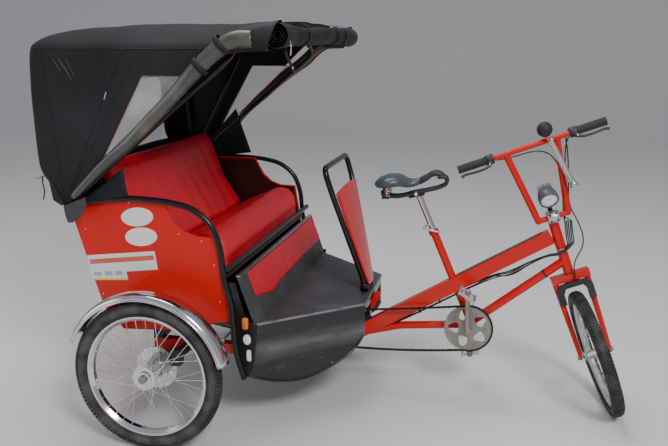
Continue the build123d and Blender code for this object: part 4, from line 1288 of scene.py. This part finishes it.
def make_headlight():
    centre = steered(*LAMP_AT)
    axis = STEER_AHEAD * cos(LAMP_DROP) - AXIS_UP * sin(LAMP_DROP)
    side = axis.cross(AXIS_UP).normalized()
    over = side.cross(axis).normalized()
    shapes = [lathe(LAMP_SHELL, centre, axis, 48, AXIS_UP)]
    for i in range(-3, 4):
        middle = centre + side * (i * 0.0078) + over * (0.0225 - 0.0006 * i * i) - axis * 0.026
        shapes.append(block(middle, (axis, side, over), (0.028, 0.0026, 0.020)))
    piece("headlight_shell", shapes, "lamp_grey", "steering", node="headlight")
    shapes = [lathe(LAMP_GLASS, centre, axis, 40, AXIS_UP)]
    for i in range(-3, 4):
        for j in range(-3, 4):
            if i * i + j * j < 11:
                spot = centre + side * (i * 0.0088) + over * (j * 0.0088) + axis * 0.0255
                shapes.append(lathe(LAMP_BEAD, spot, axis, 10, AXIS_UP))
    piece("headlight_glass", shapes, "white_lens", "steering")
    arm = [centre - over * 0.034, centre - over * 0.052 - axis * 0.012, steered(0.030, 0, 0.035)]
    piece("headlight_arm", [tube(arm, 0.010, 12, 0.6)], "black_plastic", "steering")


def trumpet_radius(share):
    return 0.0065 + 0.0035 * share ** 2 + 0.0065 * max(0.0, share - 0.86) / 0.14


def make_horn():
    ball = [(BULB_R * sin(a) + 0.0001, BULB_R * cos(a)) for a in (pi * k / 20 for k in range(20))]
    ball += [(0.008, -BULB_R), (0.0001, -0.031)]
    shapes = [lathe(ball, steered(*BULB_AT), AXIS_UP, 32, FORWARD)]
    piece("horn_bulb", shapes, "rubber", "steering", node="horn")
    collar = lathe(stud(0.0095, 0.0105, 0.006), steered(*COLLAR_AT), AXIS_UP, 20, FORWARD)
    piece("horn_collar", [collar], "sticker_red", "steering")
    shapes = []
    for start, end in TRUMPETS:
        line = walk(steered(*start), steered(*end), 24)
        shapes.append(tube(line, trumpet_radius, 20))
    shapes.append(tube([steered(*p) for p in HORN_NECK], 0.006, 14))
    shapes.append(tube([steered(*p) for p in HORN_LINK], 0.005, 12))
    piece("horn_trumpets", shapes, "chrome", "steering")


def make_stem():
    """Rounded stem clamp with its arm and four dark bolts."""
    shapes = [
        tube([steered(0, 0, up) for up in (0.0035, 0.006, 0.042, 0.0455)],
             lambda t: 0.0185 if 0.1 < t < 0.9 else 0.0165, 28),
        tube([steered(t, 0, STEM_UP) for t in spread(0.0, BAR_AHEAD, 8)], 0.0150, 20),
        lathe(STEM_CLAMP, steered(BAR_AHEAD, 0, STEM_UP), STEER_LEFT, 36, AXIS_UP),
    ]
    piece("stem_clamp", shapes, "aluminium", "steering", node="stem")
    bolts = []
    for left in (-0.0125, 0.0125):
        for up in (-0.0125, 0.0125):
            spot = steered(BAR_AHEAD + 0.0205, left, STEM_UP + up)
            bolts.append(lathe(STEM_BOLT, spot, STEER_AHEAD, 14, AXIS_UP))
    piece("stem_bolts", bolts, "rubber", "steering")


def make_levers():
    """Lever clamps with their brackets, blades and pivot bolts."""
    def by_bar(side, ahead, out, up):
        return steered(BAR_AHEAD + ahead, side * out, BAR_UP + up)

    shapes = []
    bolts = []
    for side in SIDES:
        shapes.append(lathe(LEVER_CLAMP, by_bar(side, *LEVER_SEAT), STEER_LEFT, 28, AXIS_UP))
        pivot = by_bar(side, *LEVER_PIVOT)
        bracket = walk(by_bar(side, *LEVER_ROOT), pivot, 3)
        shapes.append(tube(bracket, lambda t: 0.012 - 0.004 * t, 14, 0.7))
        blade = curve_through([by_bar(side, *p) for p in BLADE], 6)
        shapes.append(tube(blade, lambda t: 0.0066 - 0.0014 * sin(pi * t), 12, 0.75))
        shapes.append(tube([by_bar(side, *p) for p in LEVER_BARREL], 0.0052, 10))
        bolts.append(tube([pivot - AXIS_UP * 0.0095, pivot + AXIS_UP * 0.0095], 0.0042, 12))
    piece("lever_set", shapes, "black_plastic", "steering", node="brake_levers")
    piece("lever_bolts", bolts, "chrome", "steering")


# Cables: points in mm, in the steering frame, from the head tube or from the rear axle
CABLE_D = 0.005
TIE_CORD = ((-451, -560, 966), (-454, -560, 940), (-447, -560, 915), (-450, -560, 893), (-456, -560, 878))
BAR_CABLES = (
    ("brake_cable", ((34, 150, 333), (12, 136, 312), (12, 130, 250), (14, 98, 136), (20, 73, 51),
                     (20, 87, -17), (20, 93, -76), (20, 80, -126), (20, 35, -166), (35, 16, -200),
                     (35, 12, -244))),
    ("left_lever_cable", ((30, 150, 311), (22, 130, 290), (20, 106, 215), (20, 60, 66), (20, 47, 22),
                          (20, 46, 2))),
    ("right_lever_cable", ((30, -150, 311), (27, -100, 298), (25, 40, 297), (21, 88, 215), (26, 54, 66),
                           (26, 41, 22), (26, 40, 2))),
)
BEAM_CABLES = (
    ("rear_brake_cable",
     ((44, -17, 1), (36, -22, -42), (30, -20, -74), (28, -30, -100), (-10, -34, -122), (-50, -30, -112)),
     ((1330, -24.6, 589), (1262, -24.6, 540.4), (1180, -14.8, 519), (870, -14.8, 333), (792, -8, 290))),
    ("gear_cable",
     ((49, -9, -7), (42.5, -8, -42), (36.5, -20, -74), (34.5, -30, -100), (-10, -40.5, -122),
      (-50, -36.5, -112)),
     ((1330, -18.8, 597), (1262, -18.8, 556.2), (1180, -11.3, 522), (870, -11.3, 336), (792, 0, 290))),
    ("lamp_cable",
     ((58, -13, 5), (49, -15, -42), (43, -20, -74), (41, -30, -100), (-10, -47, -122), (-50, -43, -112)),
     ((1330, 18.8, 585), (1262, 18.8, 532.5), (1180, 11.3, 525), (870, 11.3, 339), (792, 8, 290))),
    ("rear_brake_cable_left",
     ((64, -20, -3), (55.5, -22, -42), (49.5, -20, -74), (47.5, -30, -100), (-10, -53.5, -122),
      (-50, -49.5, -112)),
     ((1330, 6, 580), (1262, 6, 522.7), (1180, 3.6, 528), (870, 3.6, 342), (792, 4, 290))),
    ("signal_cable",
     ((68, -8, -11), (62, -8, -42), (56, -20, -74), (54, -30, -100), (-10, -60, -122), (-50, -56, -112)),
     ((1330, -8, 593), (1262, -8, 548.3), (1180, -4.8, 531), (870, -4.8, 345), (792, -4, 290))),
)
TIE_XS = (1.140, 1.060, 0.980, 0.900)


def by_head(ahead, left, up):
    return HEAD + AXIS_AHEAD * ahead + ACROSS * left + AXIS_UP * up


def metres(where, points):
    return [where(*(v / 1000 for v in p)) for p in points]


def cable(name, points, body):
    data = bpy.data.curves.new(name, "CURVE")
    data.dimensions = "3D"
    data.bevel_depth = CABLE_D / 2
    data.bevel_resolution = 3
    data.use_fill_caps = True
    spline = data.splines.new("NURBS")
    spline.points.add(len(points) - 1)
    for knot, point in zip(spline.points, points):
        knot.co = (*point, 1)
    spline.order_u = 3
    spline.use_endpoint_u = True
    spline.resolution_u = 8
    data.materials.append(LOOKS["cable"])
    line = added(name, data)
    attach(line, body)
    run = data.copy()
    run.bevel_depth = 0
    bare = added("run", run)
    mesh = bpy.data.meshes.new_from_object(bare)
    bpy.data.objects.remove(bare)
    tuple(points[0])


def make_cables():
    cable("hood_tie_cord", metres(place, TIE_CORD), "chassis")
    for name, points in BAR_CABLES:
        cable(name, metres(steered, points), "steering")
    for name, ahead, behind in BEAM_CABLES:
        cable(name, metres(by_head, ahead) + metres(place, behind), "chassis")
    ties = [block(place(x, -0.006, beam_z(x) - 0.043), ALONG_BEAM, (0.004, 0.030, 0.013)) for x in TIE_XS]
    piece("cable_ties", ties, "rubber", smooth=False)


# Chain, cranks and pedals
CRANK_X = 1.103
CRANK_Z = 0.309
CHAIN_Y = -0.050
LINK_LENGTH = 0.0127
LOWER_SAG = 0.045
UPPER_SAG = 0.018
LOWER_END = (-0.006, 0.241)
OUTER_PLATE_Y = 0.0042
INNER_PLATE_Y = 0.0028
PLATE_HALF = 0.0006
PIN_HALF = 0.0055
PIN_R = 0.0021
RING_R = 0.0955
TOOTH_SIZE = (0.0060, 0.0024, 0.0052)
RING_BOLTS_R = 0.066
WINDOWS_R = 0.0575
WINDOW_R = 0.0215
RING_RUN_R = 0.0971
COG_RUN_R = 0.0406
CRANK_Y = 0.086
TEETH = 48
LINK_HALVES = (0.0, 0.0034, 0.0040, 0.0026, 0.0040, 0.0034, 0.0)
LINK_PLATE = [(-0.0103 + 0.0206 * i / 6, half) for i, half in enumerate(LINK_HALVES)]
LINK_PLATE += [(x, -half) for x, half in LINK_PLATE[-2:0:-1]]
RING_BOLT = ((0.0001, -0.0045), (0.0042, -0.0045), (0.0050, -0.003), (0.0050, 0.003), (0.0001, 0.003))
SPINDLE = (
    (0.0001, -0.094), (0.013, -0.094), (0.0145, -0.088), (0.0145, 0.090), (0.013, 0.096), (0.0001, 0.096),
)
PEDAL_TILT = {RIGHT: radians(-34), LEFT: radians(12)}


def arc(centre_x, centre_z, radius, low, high, count):
    """Points on an arc seen from the side, angles from ahead over the top."""
    return [(centre_x + radius * cos(a), centre_z + radius * sin(a))
            for a in (radians(d) for d in spread(low, high, count))]


def slack_run(start, end, sag):
    """Points between two ends of a chain run that hangs through."""
    (x, z), (end_x, end_z) = start, end
    return [(x + (end_x - x) * t, z + (end_z - z) * t - sag * 4 * t * (1 - t) * 0.9)
            for t in spread(0, 1, 60)]


def make_chain():
    loop = arc(CRANK_X, CRANK_Z, RING_RUN_R, 88, -100, 40)
    loop += slack_run(loop[-1], LOWER_END, LOWER_SAG)[1:]
    loop += arc(0.0, REAR_R, COG_RUN_R, 262, 88, 24)[1:]
    loop += slack_run(loop[-1], loop[0], UPPER_SAG)[1:-1]
    points = [place(x, CHAIN_Y, z) for x, z in loop]
    lengths = [0.0]
    for first, second in zip(points, points[1:] + points[:1]):
        lengths.append(lengths[-1] + (second - first).length)
    links = int(round(lengths[-1] / LINK_LENGTH / 2)) * 2
    spots = []
    k = 0
    for want in (lengths[-1] * i / links for i in range(links)):
        while lengths[k + 1] < want:
            k += 1
        t = (want - lengths[k]) / (lengths[k + 1] - lengths[k])
        spots.append(points[k].lerp(points[(k + 1) % len(points)], t))
    shapes = []
    for i, (first, second) in enumerate(zip(spots, spots[1:] + spots[:1])):
        ahead = (second - first).normalized()
        up = ahead.cross(ACROSS)
        wide = OUTER_PLATE_Y if i % 2 else INNER_PLATE_Y
        for side in SIDES:
            middle = (first + second) / 2 + ACROSS * (side * wide)
            plate = [middle + ahead * x + up * z for x, z in LINK_PLATE]
            shapes.append(capped([[p + ACROSS * step for p in plate] for step in (-PLATE_HALF, PLATE_HALF)]))
        shapes.append(tube([first - ACROSS * PIN_HALF, first + ACROSS * PIN_HALF], PIN_R, 8))
    piece("chain_links", shapes, "chain_dark", smooth=False, node="chain")


def pedal_cage(centre, tilt):
    ahead = turned(tilt)
    up = turned(tilt + pi / 2)
    ways = (ACROSS, ahead, up)
    cage = []
    for step in (-0.034, 0.034):
        for level in (-0.0065, 0.0065):
            cage.append(block(centre + ahead * step + up * level, ways, (0.074, 0.0040, 0.0055)))
        for k in range(-3, 4):
            cage.append(block(centre + ahead * step + ACROSS * (k * 0.0115), ways, (0.0040, 0.0048, 0.021)))
    for y in (-0.034, 0.034):
        cage.append(block(centre + ACROSS * y, (ahead, ACROSS, up), (0.066, 0.0045, 0.012)))
    cage.append(tube([centre - ACROSS * 0.036, centre + ACROSS * 0.036], 0.0085, 16))
    return cage


def make_cranks():
    """Toothed ring with round windows, its bolts, both crank arms and two caged pedals."""
    hub = place(CRANK_X, CHAIN_Y, CRANK_Z)
    plate = lathe(band(0.010, RING_R, 0.0015), hub, ACROSS, 120)
    ring = piece("chainring", [plate], "ring_grey", "crankset", smooth=False, node="crankset")
    windows = []
    for a in (radians(36 + 72 * k) for k in range(5)):
        middle = hub + turned(a) * WINDOWS_R
        windows.append(capped([
            [middle + turned(b) * (WINDOW_R + 0.003 * cos(3 * (b - a))) + ACROSS * y for b in angles(30)]
            for y in (-0.01, 0.01)
        ]))
    cut_out(ring, windows)
    shapes = []
    for out in (turned(a) for a in angles(TEETH)):
        shapes.append(block(hub + out * 0.0972, (out, ACROSS, out.cross(ACROSS)), TOOTH_SIZE))
    for a in (radians(72 * k) for k in range(5)):
        shapes.append(lathe(RING_BOLT, hub + turned(a) * RING_BOLTS_R - ACROSS * 0.001, ACROSS, 14))
    piece("chainring_teeth", shapes, "ring_grey", "crankset", smooth=False)
    shapes = [lathe(SPINDLE, place(CRANK_X, 0, CRANK_Z), ACROSS, 28)]
    for side, name in SIDE_NAMES:
        node = "pedal_" + name
        pedal = sum((nodes[node].matrix_world @ Vector(c) for c in nodes[node].bound_box), Vector()) / 8
        tip = Vector((pedal.x, side * CRANK_Y, pedal.z))
        line = walk(place(CRANK_X, side * 0.082, CRANK_Z), tip, 12)
        shapes.append(tube(line, lambda t: 0.0160 - 0.0055 * t, 16, 0.55))
        shapes.append(lathe(stud(0.012, 0.013, 0.010), tip, ACROSS, 20))
        cage = pedal_cage(pedal, PEDAL_TILT[side])
        piece("pedal_cage_" + name, cage, "aluminium", node, smooth=False, node=node)
    piece("crank_arms", shapes, "ring_grey", "crankset")


# Guards, skirts, arm tubes and panels
GUARD_R = 0.3060
GUARD_SPAN = (13, 156)
STAY_DEGREES = (27, 151)
STAY_YS = (0.730, 0.660, 0.532)
BEAD_DROP = 0.0140
BEAD_OUT = 0.0395
GUARD_SECTION = (
    (-0.0140, -0.0400), (-0.0020, -0.0375), (0.0055, -0.0260), (0.0085, -0.0100), (0.0085, 0.0100),
    (0.0055, 0.0260), (-0.0020, 0.0375), (-0.0140, 0.0400), (-0.0140, 0.0385), (-0.0030, 0.0360),
    (0.0040, 0.0250), (0.0070, 0.0100), (0.0070, -0.0100), (0.0040, -0.0250), (-0.0030, -0.0360),
    (-0.0140, -0.0385),
)
DECK_EDGE_Z = 0.4345
SKIRT_TOP_Z = 0.4325
SKIRT_LENGTH = 0.494
SKIRT_REAR = Vector((0.335, 0.533))
SKIRT_FRONT = Vector((0.700, 0.200))
SKIRT_SHEET = 0.0024
EDGE_TALL = 0.0090
SKIRT_LOW = ((0.0, 0.232), (0.10, 0.193), (0.215, 0.177), (0.33, 0.200), (0.44, 0.250), (0.494, 0.311))
ARM_Y = 0.556
ARM_R = 0.0110
ARM_BEND = 0.05
ARM_POINTS = (
    (-0.330, 0.872), (-0.112, 0.898), (0.040, 0.890), (0.135, 0.870), (0.205, 0.815), (0.236, 0.730),
    (0.244, 0.610), (0.270, 0.525), (0.280, 0.340), (0.312, 0.232),
)
PANEL_EDGE = (
    (-0.345, 0.862), (-0.280, 0.889), (0.008, 0.889), (0.026, 0.855), (0.050, 0.813), (0.090, 0.778),
    (0.138, 0.761), (0.206, 0.758), (0.232, 0.600), (0.247, 0.520), (0.256, 0.452), (0.196, 0.443),
    (0.118, 0.405), (-0.165, 0.390), (-0.240, 0.471), (-0.256, 0.520), (-0.336, 0.792),
)


def guard(centre, radius, low, high):
    """A rolled strip round a wheel with a bead along both edges."""
    ways = [turned(radians(degree)) for degree in spread(low, high, 56)]
    rows = [[centre + out * (radius + up) + ACROSS * across for up, across in GUARD_SECTION] for out in ways]
    shapes = [capped(rows)]
    for edge in (-BEAD_OUT, BEAD_OUT):
        bead = [centre + out * (radius - BEAD_DROP) + ACROSS * edge for out in ways]
        shapes.append(tube(bead, 0.0024, 8))
    return shapes


def make_guards():
    shapes = []
    stays = []
    for side in SIDES:
        centre = place(0, side * HUB_Y, REAR_R)
        shapes += guard(centre, GUARD_R, *GUARD_SPAN)
        for degree in STAY_DEGREES:
            spot = centre + turned(radians(degree)) * (GUARD_R - 0.002)
            outer, nut, inner = (Vector((spot.x, side * y, spot.z)) for y in STAY_YS)
            stays.append(tube([outer, inner], 0.0045, 12))
            stays.append(lathe(stud(0.0085, 0.0095, 0.004), nut, ACROSS, 6))
    piece("wheel_guards", shapes, "chrome", node="mudguards")
    piece("guard_stays", stays, "steel", node="mudguard_stays")


def make_skirts():
    """Black sheet below the deck sides with a bar along its edge, the deck's worn edge and its lip."""
    shapes = []
    for side in SIDES:
        edge = []
        rows = []
        for point in curve_through([(*p, 0) for p in SKIRT_LOW], 6):
            x, y = SKIRT_REAR.lerp(SKIRT_FRONT, point.x / SKIRT_LENGTH)
            edge.append(place(x, side * y, point.y))
            rows.append([place(x, side * y, z) for z in spread(point.y, SKIRT_TOP_Z, 5)])
        vertices, faces = grid(rows)
        back = [v - Vector((SKIRT_SHEET, side * SKIRT_SHEET, 0)) for v in vertices]
        shapes += [(vertices, faces), (back, [face[::-1] for face in faces])]
        shapes.append(tube(edge, 0.0052, 10))
    piece("deck_skirts", shapes, "skirt_black", node="skirts")
    shapes = []
    for side in SIDES:
        ahead, inward = SKIRT_FRONT - SKIRT_REAR
        run = Vector((ahead, side * inward, 0)).normalized()
        x, y = SKIRT_REAR.lerp(SKIRT_FRONT, 0.5)
        middle = place(x, side * y, DECK_EDGE_Z) + Vector((0.0012, side * 0.0012, 0))
        shapes.append(block(middle, (run, run.cross(UP), UP), (SKIRT_LENGTH, 0.0040, EDGE_TALL)))
    shapes.append(block(place(0.7005, 0, DECK_EDGE_Z), CROSSWISE, (0.40, 0.0040, EDGE_TALL)))
    piece("deck_edge", shapes, "worn_edge", smooth=False)
    lip = block(place(0.6985, 0, 0.414), CROSSWISE, (0.40, 0.003, 0.034))
    piece("deck_front_lip", [lip], "black_paint", smooth=False, node="nose_board")


def make_arm_tubes():
    lines = [[place(x, side * ARM_Y, z) for x, z in ARM_POINTS] for side in SIDES]
    shapes = [tube(rounded(line, ARM_BEND), ARM_R, 14) for line in lines]
    piece("arm_rail_tubes", shapes, "black_paint", node="arm_tubes")


def make_inner_panels():
    # painted shade: the inner faces are coloured a very dark copy of the panel red
    for side, name in SIDE_NAMES:
        flat_patch("inner_panel_" + name, PANEL_EDGE, side * (PANEL_Y - 0.0112), -side * 0.0012, "painted_shade_red")


# Dome of a lens as size and height; a lens has its place, half sizes and squareness
DOME = ((1.0, -0.008), (1.0, 0.0), (0.94, 0.0022), (0.78, 0.0040), (0.5, 0.0052), (0.2, 0.0058))
AMBER = ((0.322, 0.450, 0.0115, 0.0225, 5),)
WHITES = ((0.328, 0.389, 0.0150, 0.0200, 2), (0.334, 0.327, 0.0090, 0.0225, 4))
LENS_SINK = 0.003
FRAMES = ((0.328, 0.389, 0.0180, 0.0235, 2), (0.334, 0.327, 0.0115, 0.0255, 4))


def lens(x, z, half_x, half_z, power, y, side):
    rows = []
    for size, height in DOME:
        row = []
        for c, s in ((cos(a), sin(a)) for a in angles(32)):
            reach = size * (abs(c) ** power + abs(s) ** power) ** (-1 / power)
            row.append(place(x + half_x * reach * c, y + side * height, z + half_z * reach * s))
        rows.append(row)
    return capped(rows)


def make_lenses():
    lamps = nodes["marker_lamps"]
    out = max(abs((lamps.matrix_world @ Vector(c)).y) for c in lamps.bound_box) - LENS_SINK
    for name, lenses, back, look, node in (("marker_glass", WHITES, 0, "white_lens", "marker_lamps"),
                                           ("amber_glass", AMBER, 0, "amber", "amber_reflectors"),
                                           ("marker_frames", FRAMES, 0.004, "black_plastic", None)):
        shapes = [lens(*facts, side * (out - back), side) for side in SIDES for facts in lenses]
        piece(name, shapes, look, node=node)


STRIP_X = 1.225
STRIP_LIFT = 0.0297
STRIP_SIZE = (0.38, 0.026, 0.0022)
RING_DROP = 0.1116
BAND_AT = (1.394, 0, 0.548)
BAND_AXIS = (0.349, 0, 0.282)
CLAMP_LEVER = ((0.906, -0.022, 0.717), (0.935, -0.026, 0.708), (0.968, -0.022, 0.700))
CLAMP_BOLT = ((0.912, 0.026, 0.714), (0.912, -0.028, 0.714))


def make_small_trim():
    """Grip strip on the beam, ring on the head tube, band on the down tube and clamp lever."""
    middle = place(STRIP_X, 0, beam_z(STRIP_X)) + ALONG_BEAM[2] * STRIP_LIFT
    piece("beam_strip", [block(middle, ALONG_BEAM, STRIP_SIZE)], "board_grey", smooth=False)
    ring = lathe(band(0.0185, 0.0208, 0.0012), HEAD - AXIS_UP * RING_DROP, AXIS_UP, 32, FORWARD)
    piece("head_ring", [ring], "chrome")
    wrap = lathe(band(0.0150, 0.0188, 0.003), place(*BAND_AT), Vector(BAND_AXIS), 24, ACROSS)
    piece("tube_band", [wrap], "rubber")
    lever = [place(*p) for p in CLAMP_LEVER]
    bolt = [place(*p) for p in CLAMP_BOLT]
    piece("clamp_lever", [tube(curve_through(lever, 6), 0.0042, 10), tube(bolt, 0.0045, 12)], "aluminium")


set_camera()
set_studio()
dress_nodes()
make_hood_seams(make_hood())
make_hood_windows()
make_hood_trim()
make_front_roll()
make_side_rolls()
make_hood_straps()
make_gussets()
make_cushions()
make_tyres()
make_panel_marks()
make_rivets()
make_torn_sheet()
make_hoop()
make_saddle()
make_headlight()
make_horn()
make_stem()
make_levers()
make_cables()
make_chain()
make_cranks()
make_guards()
make_skirts()
make_arm_tubes()
make_inner_panels()
make_lenses()
make_small_trim()
